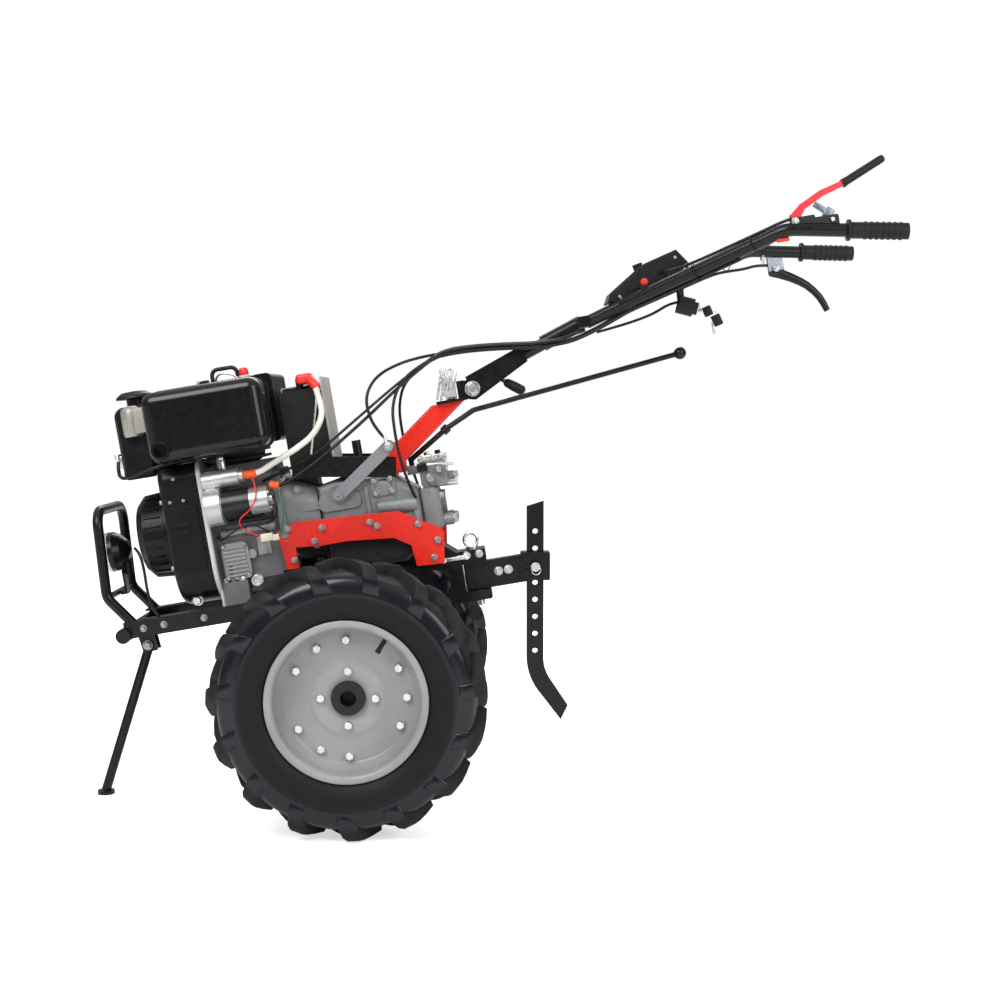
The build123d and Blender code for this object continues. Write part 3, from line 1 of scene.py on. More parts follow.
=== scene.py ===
"""Studio scene of a two-wheel walking tractor with an open single-cylinder engine.

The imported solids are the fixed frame. Each sub-assembly class dresses its own solids with a finish and adds
the fine pieces that fasten to them: tyres and rims, bolts, leads, cables, boots, keys and clips.
"""

import logging
import math
from dataclasses import dataclass
from enum import Enum
from typing import NamedTuple, Optional, Sequence, Union

import bmesh
import bpy
from mathutils import Matrix, Vector


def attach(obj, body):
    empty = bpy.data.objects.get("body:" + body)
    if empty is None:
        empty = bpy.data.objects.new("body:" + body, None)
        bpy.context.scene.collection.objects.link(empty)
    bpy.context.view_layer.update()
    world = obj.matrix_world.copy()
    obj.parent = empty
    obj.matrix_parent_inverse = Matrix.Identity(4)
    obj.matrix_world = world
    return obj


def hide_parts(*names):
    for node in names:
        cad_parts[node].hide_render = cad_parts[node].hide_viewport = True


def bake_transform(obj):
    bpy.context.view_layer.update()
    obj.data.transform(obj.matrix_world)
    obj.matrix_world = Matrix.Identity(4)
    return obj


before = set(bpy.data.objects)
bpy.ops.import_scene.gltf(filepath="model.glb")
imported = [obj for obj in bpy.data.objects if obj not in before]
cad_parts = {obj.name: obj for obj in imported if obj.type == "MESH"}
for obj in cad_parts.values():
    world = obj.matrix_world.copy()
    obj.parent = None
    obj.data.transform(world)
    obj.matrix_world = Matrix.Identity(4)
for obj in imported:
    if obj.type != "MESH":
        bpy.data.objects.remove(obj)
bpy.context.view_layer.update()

log = logging.getLogger("walking_tractor")
MM = 0.001
WELD = 2e-6
EDGE_RADIUS, EDGE_SAMPLES = 0.0014, 4
HEAD_SIDES, HEAD_CHAMFER, HEAD_TAPER = 6, 0.22, 0.84
WASHER_SIDES, WASHER_TAPER = 24, 0.97
WIRE_SIDES = 8
BOLT_SMOOTH, CORD_SMOOTH = 38.0, 60.0
Colour = tuple[float, float, float]
Spot = tuple[float, float, float]
Place = Union[Vector, Spot]
Outline = Sequence[tuple[float, float]]
WHITE: Colour = (1.0, 1.0, 1.0)


class Body(Enum):
    """Moving bodies that carry added pieces."""

    CHASSIS = "chassis"
    WHEEL_LEFT = "wheel_left"
    WHEEL_RIGHT = "wheel_right"
    HANDLEBAR = "handlebar"


class Side(Enum):
    """Side of the machine as driven, with its sign along Y."""

    LEFT = 1
    RIGHT = -1


@dataclass(frozen=True)
class SideView:
    """The chassis side view in millimetres: aft of the axle and above it, parked with the nose down."""

    pitch: float = math.radians(9.5)
    axle_x: float = 276.3
    axle_z: float = 284.0

    def forward(self) -> Vector:
        """Unit vector towards the chassis nose."""
        return Vector((math.cos(self.pitch), 0.0, -math.sin(self.pitch)))

    def upward(self) -> Vector:
        """Unit vector square to the chassis, upward."""
        return Vector((math.sin(self.pitch), 0.0, math.cos(self.pitch)))

    def at(self, aft: float, left: float, up: float) -> Vector:
        """Point of the frame for a chassis spot.

        Args:
            aft: Millimetres aft of the axle.
            left: Millimetres left of the centre plane.
            up: Millimetres above the axle.

        Returns:
            The point in metres.
        """
        spot = Vector((self.axle_x, left, self.axle_z)) - self.forward() * aft + self.upward() * up
        return spot * MM

    def point(self, place: Place) -> Vector:
        """A point in metres as it is, or the point of a chassis spot."""
        return place if isinstance(place, Vector) else self.at(*place)


VIEW = SideView()
LEFTWARD = Vector((0.0, 1.0, 0.0))
FORWARD, UPWARD, CLEAR_AFT = VIEW.forward(), VIEW.upward(), -VIEW.forward()
AXLE_UP = VIEW.at(0.0, 0.0, 0.0).dot(UPWARD)
AXLE_AFT = VIEW.at(0.0, 0.0, 0.0).dot(CLEAR_AFT)


def abreast(left: float, *pairs: tuple[float, float]) -> list[Spot]:
    """Chassis spots at one distance left of the centre plane, from their aft and up pairs."""
    return [(aft, left, up) for aft, up in pairs]


def fill(tree: bpy.types.NodeTree, node: bpy.types.Node, inputs: dict) -> None:
    """Link or set a node's inputs.

    Args:
        tree: Tree that holds the node.
        node: Node to fill.
        inputs: Another node's output, a number, a vector or a colour for each input, by name or number.
    """
    for key, value in inputs.items():
        socket = node.inputs[key]
        if isinstance(value, bpy.types.NodeSocket):
            tree.links.new(value, socket)
        elif isinstance(value, tuple) and socket.type == "RGBA":
            socket.default_value = (*value, 1.0)
        else:
            socket.default_value = value


def add_node(tree: bpy.types.NodeTree, kind: str, inputs: Optional[dict] = None,
             **settings: object) -> bpy.types.Node:
    """Add a node to a tree.

    Args:
        tree: Tree to grow.
        kind: Node type, without the word ShaderNode.
        inputs: What goes into its inputs.
        **settings: Its properties.

    Returns:
        The new node.
    """
    node = tree.nodes.new("ShaderNode" + kind)
    for name, value in settings.items():
        setattr(node, name, value)
    fill(tree, node, inputs or {})
    return node


class NodeBook:
    """Node tree of one material round a Principled shader, reading the piece's Object coordinates."""

    LABELS = {"ior": "IOR", "specular_ior_level": "Specular IOR Level"}

    def __init__(self, name: str) -> None:
        """Start an empty tree.

        Args:
            name: Name of the material.
        """
        self.material = bpy.data.materials.new(name)
        self.material.use_nodes = True
        self.tree = self.material.node_tree
        self.tree.nodes.clear()
        self.shader = add_node(self.tree, "BsdfPrincipled")
        add_node(self.tree, "OutputMaterial", {"Surface": self.shader.outputs["BSDF"]})
        self.place = add_node(self.tree, "TexCoord").outputs["Object"]

    def wear(self, **values: object) -> None:
        """Fill the shader's inputs, named in lower case with underscores."""
        fill(self.tree, self.shader, {
            self.LABELS.get(name, name.replace("_", " ").title()): value for name, value in values.items()})

    def noise(self, scale: float, detail: float = 4.0, rough: float = 0.55) -> bpy.types.NodeSocket:
        """Cloud noise.

        Args:
            scale: Clouds per metre.
            detail: Octaves.
            rough: Weight of the finer octaves.

        Returns:
            The noise value's output.
        """
        inputs = {"Vector": self.place, "Scale": scale, "Detail": detail, "Roughness": rough}
        return add_node(self.tree, "TexNoise", inputs).outputs["Fac"]

    def grains(self, scale: float) -> bpy.types.NodeSocket:
        """Distance field of a cell pattern, in cells per metre."""
        return add_node(self.tree, "TexVoronoi", {"Vector": self.place, "Scale": scale}).outputs["Distance"]

    def ramp(self, value: bpy.types.NodeSocket, *stops: tuple[float, object],
             hard: bool = False) -> bpy.types.NodeSocket:
        """Colour ramp.

        Args:
            value: Driving output.
            *stops: Place and colour, or grey level, of each stop.
            hard: True for steps instead of blends.

        Returns:
            The ramp's colour output.
        """
        node = add_node(self.tree, "ValToRGB", {"Fac": value})
        node.color_ramp.interpolation = "CONSTANT" if hard else "LINEAR"
        while len(node.color_ramp.elements) < len(stops):
            node.color_ramp.elements.new(1.0)
        for element, (place, tone) in zip(node.color_ramp.elements, stops):
            element.position = place
            element.color = (*tone, 1.0) if isinstance(tone, tuple) else (tone, tone, tone, 1.0)
        return node.outputs["Color"]

    def clouds(self, scale: float, detail: float, *stops: tuple[float, object],
               rough: float = 0.55) -> bpy.types.NodeSocket:
        """Cloud noise through a colour ramp.

        Args:
            scale: Clouds per metre.
            detail: Octaves.
            *stops: Place and colour, or grey level, of each stop.
            rough: Weight of the finer octaves.

        Returns:
            The ramp's colour output.
        """
        return self.ramp(self.noise(scale, detail, rough), *stops)

    def maths(self, operation: str, first: object, second: object) -> bpy.types.NodeSocket:
        """One arithmetic node on two values."""
        return add_node(self.tree, "Math", {0: first, 1: second}, operation=operation).outputs[0]

    def along(self, direction: Vector, start: float, end: float) -> bpy.types.NodeSocket:
        """Position along a direction, from 0 at one distance to 1 at another.

        Args:
            direction: Direction in the frame.
            start: Distance in metres that gives 0.
            end: Distance in metres that gives 1.

        Returns:
            The clamped position's output.
        """
        dot = add_node(self.tree, "VectorMath", {0: self.place, 1: direction}, operation="DOT_PRODUCT")
        inputs = {"Value": dot.outputs["Value"], "From Min": start, "From Max": end}
        return add_node(self.tree, "MapRange", inputs).outputs["Result"]

    def radius(self, centre: Spot, reach: float) -> bpy.types.NodeSocket:
        """Distance from a line along Y, as a share of a reach.

        Args:
            centre: Point on the line.
            reach: Distance in metres that gives 1.

        Returns:
            The distance's output.
        """
        inputs = {0: self.place, 1: (1.0, 0.0, 1.0), 2: (-centre[0], 0.0, -centre[2])}
        shift = add_node(self.tree, "VectorMath", inputs, operation="MULTIPLY_ADD")
        length = add_node(self.tree, "VectorMath", {0: shift.outputs["Vector"]}, operation="LENGTH")
        return self.maths("DIVIDE", length.outputs["Value"], reach)

    def mix(self, share: object, first: object, second: object) -> bpy.types.NodeSocket:
        """Blend of two colours.

        Args:
            share: Weight of the second colour.
            first: Colour or output.
            second: Colour or output.

        Returns:
            The blended colour's output.
        """
        return add_node(self.tree, "Mix", {0: share, 6: first, 7: second}, data_type="RGBA").outputs[2]

    def relief(self, height: bpy.types.NodeSocket, strength: float, depth: float) -> None:
        """Bump the surface and break its sharp edges.

        Args:
            height: Height output.
            strength: Strength from 0 to 1.
            depth: Height in metres of a full step.
        """
        edge = add_node(self.tree, "Bevel", {"Radius": EDGE_RADIUS}, samples=EDGE_SAMPLES)
        inputs = {"Strength": strength, "Distance": depth, "Height": height, "Normal": edge.outputs["Normal"]}
        self.wear(normal=add_node(self.tree, "Bump", inputs).outputs["Normal"])


SHELF: dict[str, bpy.types.Material] = {}


@dataclass(frozen=True)
class Finish:
    """A surface finish, mixed once and shared by every piece that wears it."""

    name: str
    colour: Colour
    slot: str = "black_plastic"

    def material(self) -> bpy.types.Material:
        """The finish's material, from the shelf or newly mixed."""
        if self.name not in SHELF:
            book = NodeBook(self.name)
            self.blend_in(book)
            SHELF[self.name] = book.material
        return SHELF[self.name]

    def shade(self, share: float) -> Colour:
        """The colour made darker or paler by a share."""
        return tuple(min(1.0, tone * share) for tone in self.colour)

    def blend_in(self, book: NodeBook) -> None:
        """Build the nodes of the finish."""
        raise NotImplementedError


@dataclass(frozen=True)
class Paint(Finish):
    """Sprayed enamel with orange peel, handling marks and a little dust."""

    roughness: float = 0.36
    coat: float = 0.0
    dust: float = 0.10
    sheen: float = 0.5

    def blend_in(self, book: NodeBook) -> None:
        """Build the nodes of the paint."""
        tone = book.clouds(7.0, 5.0, (0.35, self.shade(0.82)), (0.7, self.shade(1.1)))
        grey = tuple(0.5 * part + 0.09 for part in self.colour)
        veil = book.clouds(34.0, 8.0, (0.54, 0.0), (0.78, self.dust * 2.2), rough=0.7)
        book.wear(base_color=book.mix(veil, tone, grey), specular_ior_level=self.sheen)
        low, high = self.roughness - 0.07, self.roughness + 0.12
        book.wear(roughness=book.clouds(60.0, 6.0, (0.3, low), (0.75, high)))
        if self.coat:
            book.wear(coat_weight=self.coat, coat_roughness=0.12)
        book.relief(book.noise(420.0, 3.0), 0.12, 0.0006)


@dataclass(frozen=True)
class Casting(Finish):
    """Sand- or die-cast metal with a grainy skin and darker pores, in another tone below a level."""

    metal: float = 0.45
    roughness: float = 0.5
    grain: float = 0.35
    direction: Spot = (0.0, 0.0, 1.0)
    level: Optional[float] = None
    below: Colour = (0.0, 0.0, 0.0)
    blur: float = 0.003

    def blend_in(self, book: NodeBook) -> None:
        """Build the nodes of the casting."""
        tone = book.clouds(11.0, 6.0, (0.32, self.shade(0.74)), (0.72, self.shade(1.14)))
        pores = book.clouds(160.0, 5.0, (0.30, 0.55), (0.46, 0.0), rough=0.7)
        skin = book.mix(pores, tone, self.shade(0.42))
        # Below the level the skin takes the other tone; on the gearbox that tone is painted shade.
        if self.level is not None:
            share = book.along(Vector(self.direction), self.level - self.blur, self.level + self.blur)
            skin = book.mix(share, self.below, skin)
        book.wear(base_color=skin, metallic=self.metal)
        low, high = self.roughness - 0.1, self.roughness + 0.12
        book.wear(roughness=book.clouds(90.0, 4.0, (0.3, low), (0.7, high)))
        book.relief(book.noise(380.0, 6.0, 0.65), self.grain, 0.0011)


@dataclass(frozen=True)
class Plating(Finish):
    """Zinc-plated or ground steel with faint bands and stains."""

    slot: str = "zinc"
    roughness: float = 0.3
    stain: Colour = (0.95, 0.92, 0.87)

    def blend_in(self, book: NodeBook) -> None:
        """Build the nodes of the plating."""
        warm = tuple(tone * part for tone, part in zip(self.colour, self.stain))
        tone = book.clouds(38.0, 6.0, (0.3, warm), (0.6, self.colour), (0.8, self.shade(1.1)), rough=0.6)
        book.wear(base_color=tone, metallic=1.0)
        low, high = self.roughness - 0.08, self.roughness + 0.16
        book.wear(roughness=book.clouds(120.0, 5.0, (0.3, low), (0.7, high)))
        book.relief(book.noise(700.0, 3.0), 0.08, 0.0004)


@dataclass(frozen=True)
class Moulding(Finish):
    """Moulded plastic or soft rubber with a fine texture."""

    roughness: float = 0.46
    texture: float = 0.16
    cells: float = 900.0
    sheen: float = 0.5

    def blend_in(self, book: NodeBook) -> None:
        """Build the nodes of the moulding."""
        tone = book.clouds(16.0, 5.0, (0.3, self.shade(0.85)), (0.7, self.shade(1.2)))
        book.wear(base_color=tone, specular_ior_level=self.sheen)
        low, high = self.roughness - 0.06, self.roughness + 0.14
        book.wear(roughness=book.clouds(75.0, 5.0, (0.3, low), (0.72, high)))
        book.relief(book.grains(self.cells), self.texture, 0.0004)


@dataclass(frozen=True)
class Tread(Finish):
    """Tyre rubber: dusty lugs, a shiny shoulder ring whose colour carries a painted bluish reflection, and a
    matt sidewall with moulded rings.
    """

    slot: str = "tyre_rubber"
    centre: Spot = (0.2763, 0.0, 0.284)
    outer: float = 0.284
    painted_reflection_tint: Colour = (0.7, 0.85, 1.3)
    ring_rate: float = 640.0

    def blend_in(self, book: NodeBook) -> None:
        """Build the nodes of the rubber."""
        reach = book.radius(self.centre, self.outer)
        # The shoulder ring's colour is tinted blue: painted reflection of the bluish highlights on the shiny
        # rubber.
        painted_reflection_blue = tuple(tone * part for tone, part in zip(self.colour, self.painted_reflection_tint))
        wall = book.ramp(
            reach, (0.60, self.shade(0.9)), (0.74, self.shade(1.0)), (0.79, painted_reflection_blue), (0.89, painted_reflection_blue),
            (0.92, self.shade(1.5)), (1.0, self.shade(1.9)))
        cloud = book.clouds(9.0, 7.0, (0.35, 0.0), (0.75, 0.4), rough=0.62)
        book.wear(base_color=book.mix(cloud, wall, self.shade(1.5)))
        book.wear(specular_ior_level=book.ramp(reach, (0.74, 0.2), (0.79, 0.42), (0.89, 0.42), (0.92, 0.22)))
        gloss = book.ramp(
            reach, (0.60, 0.5), (0.74, 0.56), (0.79, 0.14), (0.89, 0.14), (0.915, 0.5), (1.0, 0.62))
        scuff = book.clouds(48.0, 6.0, (0.45, 0.0), (0.8, 0.22))
        book.wear(roughness=book.mix(scuff, gloss, (0.7, 0.7, 0.7)))
        rings = book.maths("SINE", book.maths("MULTIPLY", reach, self.ring_rate), 0.0)
        band = book.ramp(reach, (0.60, 0.0), (0.625, 1.0), (0.66, 1.0), (0.68, 0.0))
        ridges = book.maths("MULTIPLY", rings, book.maths("MULTIPLY", band, 0.6))
        grit = book.maths("MULTIPLY", book.noise(520.0, 4.0), 0.8)
        book.relief(book.maths("ADD", ridges, grit), 0.22, 0.0008)


class Band(NamedTuple):
    """One stretch of a banded finish, from a distance in metres on."""

    start: float
    colour: Colour
    metal: float
    gloss: float


@dataclass(frozen=True)
class Banded(Finish):
    """Several finishes along one direction on a single solid, each with its own metal and gloss."""

    direction: Spot = (1.0, 0.0, 0.0)
    span: float = 1.0
    bands: tuple[Band, ...] = ()

    def blend_in(self, book: NodeBook) -> None:
        """Build the nodes of the bands."""
        start = self.bands[0].start
        place = book.along(Vector(self.direction), start, start + self.span)
        stops = [((band.start - start) / self.span, band) for band in self.bands]
        tone = book.ramp(place, *[(stop, band.colour) for stop, band in stops], hard=True)
        worn = book.ramp(
            place, *[(stop, tuple(part * 0.7 for part in band.colour)) for stop, band in stops], hard=True)
        book.wear(base_color=book.mix(book.clouds(26.0, 6.0, (0.35, 0.0), (0.8, 0.7)), tone, worn))
        book.wear(metallic=book.ramp(place, *[(stop, band.metal) for stop, band in stops], hard=True))
        gloss = book.ramp(place, *[(stop, band.gloss) for stop, band in stops], hard=True)
        book.wear(roughness=book.mix(book.clouds(80.0, 5.0, (0.4, 0.0), (0.8, 0.3)), gloss, (0.6, 0.6, 0.6)))
        book.relief(book.noise(450.0, 4.0), 0.14, 0.0006)


@dataclass(frozen=True)
class LampGlass(Finish):
    """Fluted lamp glass over a bright reflector."""

    flute_rate: float = 2400.0

    def blend_in(self, book: NodeBook) -> None:
        """Build the nodes of the glass."""
        tone = book.clouds(60.0, 4.0, (0.3, self.shade(0.85)), (0.7, self.colour))
        book.wear(base_color=tone, metallic=0.7, coat_weight=1.0, coat_roughness=0.03, ior=1.49)
        book.wear(roughness=book.clouds(90.0, 3.0, (0.3, 0.12), (0.7, 0.22)))
        turn = book.maths("MULTIPLY", book.along(LEFTWARD, -1.0, 1.0), self.flute_rate)
        book.relief(book.maths("SINE", turn, 0.0), 0.5, 0.0012)


BLACK_TONE = (0.006, 0.006, 0.0065)
SILVER_TONE = (0.62, 0.62, 0.62)
ALLOY_TONE = (0.25, 0.255, 0.262)
BLACK_PAINT = Paint("black enamel", BLACK_TONE, "black_paint", roughness=0.27, coat=0.12, dust=0.05,
                    sheen=0.26)
SOOT_PAINT = Paint("muffler black", (0.0055, 0.0057, 0.007), roughness=0.2, coat=0.25, dust=0.03, sheen=0.26)
BLACK_HOUSING = Paint("housing black", BLACK_TONE, roughness=0.32, coat=0.06, dust=0.05, sheen=0.2)
RED_PAINT = Paint("red enamel", (0.80, 0.024, 0.012), roughness=0.26, coat=0.25, dust=0.02, sheen=0.35)
RIM_PAINT = Paint("grey wheel enamel", (0.31, 0.31, 0.315), "rim_grey", roughness=0.36, coat=0.15, dust=0.06)
GREY_PAINT = Paint("grey arm enamel", (0.23, 0.23, 0.245), roughness=0.4)
PLATE_PAINT = Paint("pale grey sheet", (0.5, 0.5, 0.47), roughness=0.42)
ALLOY = Casting("cast alloy", ALLOY_TONE, metal=0.35)
# The gearbox alloy turns near-black below 298 mm over the axle: painted shade under the red plates.
GEAR_ALLOY_PAINTED_SHADE = Casting("gearbox alloy with painted shade", ALLOY_TONE, metal=0.35, direction=tuple(UPWARD), level=AXLE_UP + 0.298,
                     below=(0.014, 0.013, 0.013))
CRANK_ALLOY = Casting("crankcase alloy", (0.16, 0.16, 0.165), metal=0.4, roughness=0.46,
                      direction=tuple(CLEAR_AFT), level=AXLE_AFT - 0.2535, below=SILVER_TONE)
PALE_ALLOY = Casting("pale cast alloy", (0.36, 0.36, 0.37), "cast_grey", metal=0.55, roughness=0.4)
# Near-black iron; on the final drive and the half shafts it is painted shade.
DARK_IRON_AND_PAINTED_SHADE = Casting("dark cast iron and painted shade", (0.012, 0.012, 0.0125), metal=0.2, roughness=0.5)
SATIN = Casting("satin silver", (0.66, 0.66, 0.66), "cast_grey", metal=0.75, roughness=0.36, grain=0.06)
SHIELD_METAL = Casting("heat shield metal", (0.42, 0.40, 0.36), "cast_grey", metal=0.5, roughness=0.42,
                       grain=0.1)
ZINC = Plating("zinc plate", (0.82, 0.82, 0.82), roughness=0.27)
DULL_ZINC = Plating("dull zinc", (0.46, 0.46, 0.455), roughness=0.36)
STEEL = Plating("bright steel", (0.62, 0.63, 0.64), roughness=0.24)
LATCH_STEEL = Plating("blued latch steel", (0.22, 0.26, 0.32), roughness=0.34)
BLACK_PLASTIC = Moulding("black plastic", (0.008, 0.008, 0.0085), roughness=0.4, sheen=0.28)
GRIP_RUBBER = Moulding("grip rubber", (0.009, 0.009, 0.0095), "grip_rubber", roughness=0.5, texture=0.3,
                       cells=650.0, sheen=0.3)
CABLE_JACKET = Moulding("cable jacket", (0.007, 0.007, 0.0075), roughness=0.36, texture=0.05, sheen=0.35)
WHITE_JACKET = Moulding("white lead jacket", (0.76, 0.74, 0.67), roughness=0.4, texture=0.05)
RED_RUBBER = Moulding("red boot rubber", (0.78, 0.03, 0.018), roughness=0.38, texture=0.06)
ORANGE_RUBBER = Moulding("orange boot rubber", (0.76, 0.10, 0.02), roughness=0.45, texture=0.06)
GREEN_WIRE = Moulding("green wire jacket", (0.02, 0.16, 0.09), roughness=0.4, texture=0.04)
CREAM_PLASTIC = Moulding("cream connector", (0.72, 0.68, 0.52), roughness=0.4, texture=0.06)
RUBBER = Tread("tyre rubber", (0.0075, 0.0075, 0.008))
GLASS = LampGlass("lamp glass", (0.80, 0.83, 0.86))
STARTER_FINISH = Banded("starter finish", SILVER_TONE, direction=tuple(CLEAR_AFT), span=0.4, bands=(
    Band(AXLE_AFT - 0.3, SILVER_TONE, 0.75, 0.36), Band(AXLE_AFT - 0.217, BLACK_TONE, 0.0, 0.3),
    Band(AXLE_AFT - 0.157, SILVER_TONE, 0.8, 0.32)))
CLUTCH_FINISH = Banded("clutch lever finish", BLACK_TONE, direction=tuple(UPWARD), span=0.3, bands=(
    Band(AXLE_UP + 0.7, BLACK_TONE, 0.0, 0.3), Band(AXLE_UP + 0.8135, (0.78, 0.035, 0.05), 0.0, 0.26)))
STEERING_FINISH = Banded("steering lever finish", BLACK_TONE, direction=tuple(UPWARD), span=0.3, bands=(
    Band(AXLE_UP + 0.6, BLACK_TONE, 0.0, 0.36), Band(AXLE_UP + 0.737, (0.46, 0.5, 0.56), 0.75, 0.3)))


def hang(name: str, mesh: bpy.types.Mesh, finish: Finish, smooth: float) -> bpy.types.Object:
    """Make an object of a mesh, dress and shade it.

    Args:
        name: Name of the object.
        mesh: Its mesh.
        finish: Finish it wears.
        smooth: Angle in degrees up to which edges are smooth.

    Returns:
        The object, at the origin.
    """
    for polygon in mesh.polygons:
        polygon.use_smooth = True
    mesh.set_sharp_from_angle(angle=math.radians(smooth))
    piece = bpy.data.objects.new(name, mesh)
    bpy.context.scene.collection.objects.link(piece)
    mesh.materials.clear()
    mesh.materials.append(finish.material())
    return piece


def dress(finish: Finish, *nodes: str) -> None:
    """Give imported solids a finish.

    Args:
        finish: Finish they wear.
        *nodes: Names of the solids.
    """
    for name in nodes:
        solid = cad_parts[name]
        solid.data.materials.clear()
        solid.data.materials.append(finish.material())
        log.info("%s wears %s", name, finish.name)


class Bench:
    """One piece in the making: a bmesh worked with operators. Sizes are in millimetres."""

    def __init__(self, name: str, finish: Finish, body: Body, stands_for: str = "",
                 smooth: float = BOLT_SMOOTH) -> None:
        """Start an empty piece.

        Args:
            name: Name of the finished object.
            finish: Finish it wears.
            body: Body it moves with.
            stands_for: Solid that it replaces, if any.
            smooth: Angle in degrees up to which edges are smooth.
        """
        self.name, self.finish, self.body = name, finish, body
        self.stands_for, self.smooth = stands_for, smooth
        self.bm = bmesh.new()

    def __enter__(self) -> "Bench":
        """Hand over the empty piece."""
        return self

    def __exit__(self, *fault: object) -> None:
        """Close the piece, dress it and hang it on its body.

        Args:
            *fault: Type, value and trace of an error, or None.
        """
        if fault[0] is not None:
            return
        bmesh.ops.remove_doubles(self.bm, verts=self.bm.verts, dist=WELD)
        bmesh.ops.recalc_face_normals(self.bm, faces=self.bm.faces)
        mesh = bpy.data.meshes.new(self.name)
        self.bm.to_mesh(mesh)
        self.bm.free()
        piece = hang(self.name, mesh, self.finish, self.smooth)
        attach(piece, self.body.value)
        if self.stands_for:
            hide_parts(self.stands_for)
        log.info("%s on %s: %d faces", self.name, self.body.value, len(mesh.polygons))

    def soften(self, edges: list, offset: float, segments: int = 3) -> None:
        """Round edges off.

        Args:
            edges: Edges to round.
            offset: Width of the rounding.
            segments: Number of its faces across.
        """
        bmesh.ops.bevel(self.bm, geom=edges, offset=offset * MM, affect="EDGES", segments=segments,
                        profile=0.5, material=-1)

    def cone(self, base: Vector, axis: Vector, low: float, high: float, height: float, sides: int) -> list:
        """Add a closed cone or cylinder.

        Args:
            base: Centre of its foot.
            axis: Direction it stands along.
            low: Radius at the foot.
            high: Radius at the top.
            height: Height.
            sides: Number of sides.

        Returns:
            The new vertices.
        """
        turn = Vector((0.0, 0.0, 1.0)).rotation_difference(axis.normalized()).to_matrix().to_4x4()
        place = Matrix.Translation(base) @ turn @ Matrix.Translation((0.0, 0.0, height * MM / 2))
        made = bmesh.ops.create_cone(
            self.bm, cap_ends=True, cap_tris=False, segments=sides, radius1=low * MM, radius2=high * MM,
            depth=height * MM, matrix=place)
        return made["verts"]

    def rod(self, start: Place, end: Place, radius: float, sides: int, round_off: float) -> None:
        """Add a round bar with softened ends.

        Args:
            start: Centre of one end.
            end: Centre of the other end.
            radius: Radius.
            sides: Number of sides.
            round_off: Rounding of the end edges.
        """
        foot, run = VIEW.point(start), VIEW.point(end) - VIEW.point(start)
        verts = self.cone(foot, run, radius, radius, run.length / MM, sides)
        edges = {edge for vert in verts for edge in vert.link_edges}
        ends = [edge for edge in edges if any(len(face.verts) > 4 for face in edge.link_faces)]
        self.soften(ends, round_off)

    def bolt(self, seat: Place, axis: Vector, width: float, height: float, washer: float = 0.0) -> None:
        """Add a hexagon head with a chamfered top, on a washer if it has one.

        Args:
            seat: Centre of the seat.
            axis: Direction the head stands along.
            width: Width across the flats.
            height: Height of the head.
            washer: Washer radius, or 0 for none.
        """
        foot, axis = VIEW.point(seat), axis.normalized()
        chamfer, corner = height * HEAD_CHAMFER, width / math.sqrt(3.0)
        step = axis * (chamfer * MM)
        if washer:
            self.cone(foot, axis, washer, washer * WASHER_TAPER, chamfer, WASHER_SIDES)
            foot = foot + step
        verts = self.cone(foot, axis, corner, corner, height - chamfer, HEAD_SIDES)
        faces = {face for vert in verts for face in vert.link_faces}
        top = max(faces, key=lambda face: face.calc_center_median().dot(axis))
        top = bmesh.ops.extrude_discrete_faces(self.bm, faces=[top])["faces"][0]
        centre = top.calc_center_median()
        for vert in top.verts:
            vert.co = centre + (vert.co - centre) * HEAD_TAPER + step

    def bolts(self, seats: Sequence[Spot], axis: Vector, *size: float, both: bool = False) -> None:
        """Add like bolts.

        Args:
            seats: Centres of their seats.
            axis: Direction the heads stand along.
            *size: Width, height and washer radius as for one bolt.
            both: True to repeat them mirrored on the other side of the machine.
        """
        for aft, left, up in seats:
            self.bolt((aft, left, up), axis, *size)
            if both:
                self.bolt((aft, -left, up), Vector((axis.x, -axis.y, axis.z)), *size)

    def block(self, centre: Place, size: Spot, soften: float = 0.0, lean: Optional[float] = None) -> None:
        """Add a block along the chassis.

        Args:
            centre: Centre point.
            size: Length along the chassis, width and height.
            soften: Rounding of all edges.
            lean: Degrees about the Y axis of the frame in place of the chassis' own pitch.
        """
        axes = Matrix((FORWARD, LEFTWARD, UPWARD)).transposed()
        if lean is not None:
            axes = Matrix.Rotation(math.radians(lean), 3, "Y")
        scale = Matrix.Diagonal((*(side * MM for side in size), 1.0))
        place = Matrix.Translation(VIEW.point(centre)) @ axes.to_4x4() @ scale
        verts = bmesh.ops.create_cube(self.bm, size=1.0, matrix=place)["verts"]
        if soften:
            self.soften(list({edge for vert in verts for edge in vert.link_edges}), soften)

    def turned(self, base: Place, axis: Vector, outline: Outline, steps: int, closed: bool = False) -> None:
        """Spin an outline about an axis.

        Args:
            base: Point on the axis at height 0.
            axis: Axis direction.
            outline: Radius and height pairs.
            steps: Steps of the full turn.
            closed: True if the outline's ends join.
        """
        foot, axis = VIEW.point(base), axis.normalized()
        out = axis.orthogonal().normalized()
        verts = [self.bm.verts.new(foot + out * (r * MM) + axis * (h * MM)) for r, h in outline]
        edges = [self.bm.edges.new(pair) for pair in zip(verts, verts[1:])]
        if closed:
            edges.append(self.bm.edges.new((verts[-1], verts[0])))
        bmesh.ops.spin(
            self.bm, geom=verts + edges, cent=foot, axis=axis, dvec=(0.0, 0.0, 0.0), angle=math.tau,
            steps=steps, use_merge=True, use_normal_flip=False, use_duplicate=False)

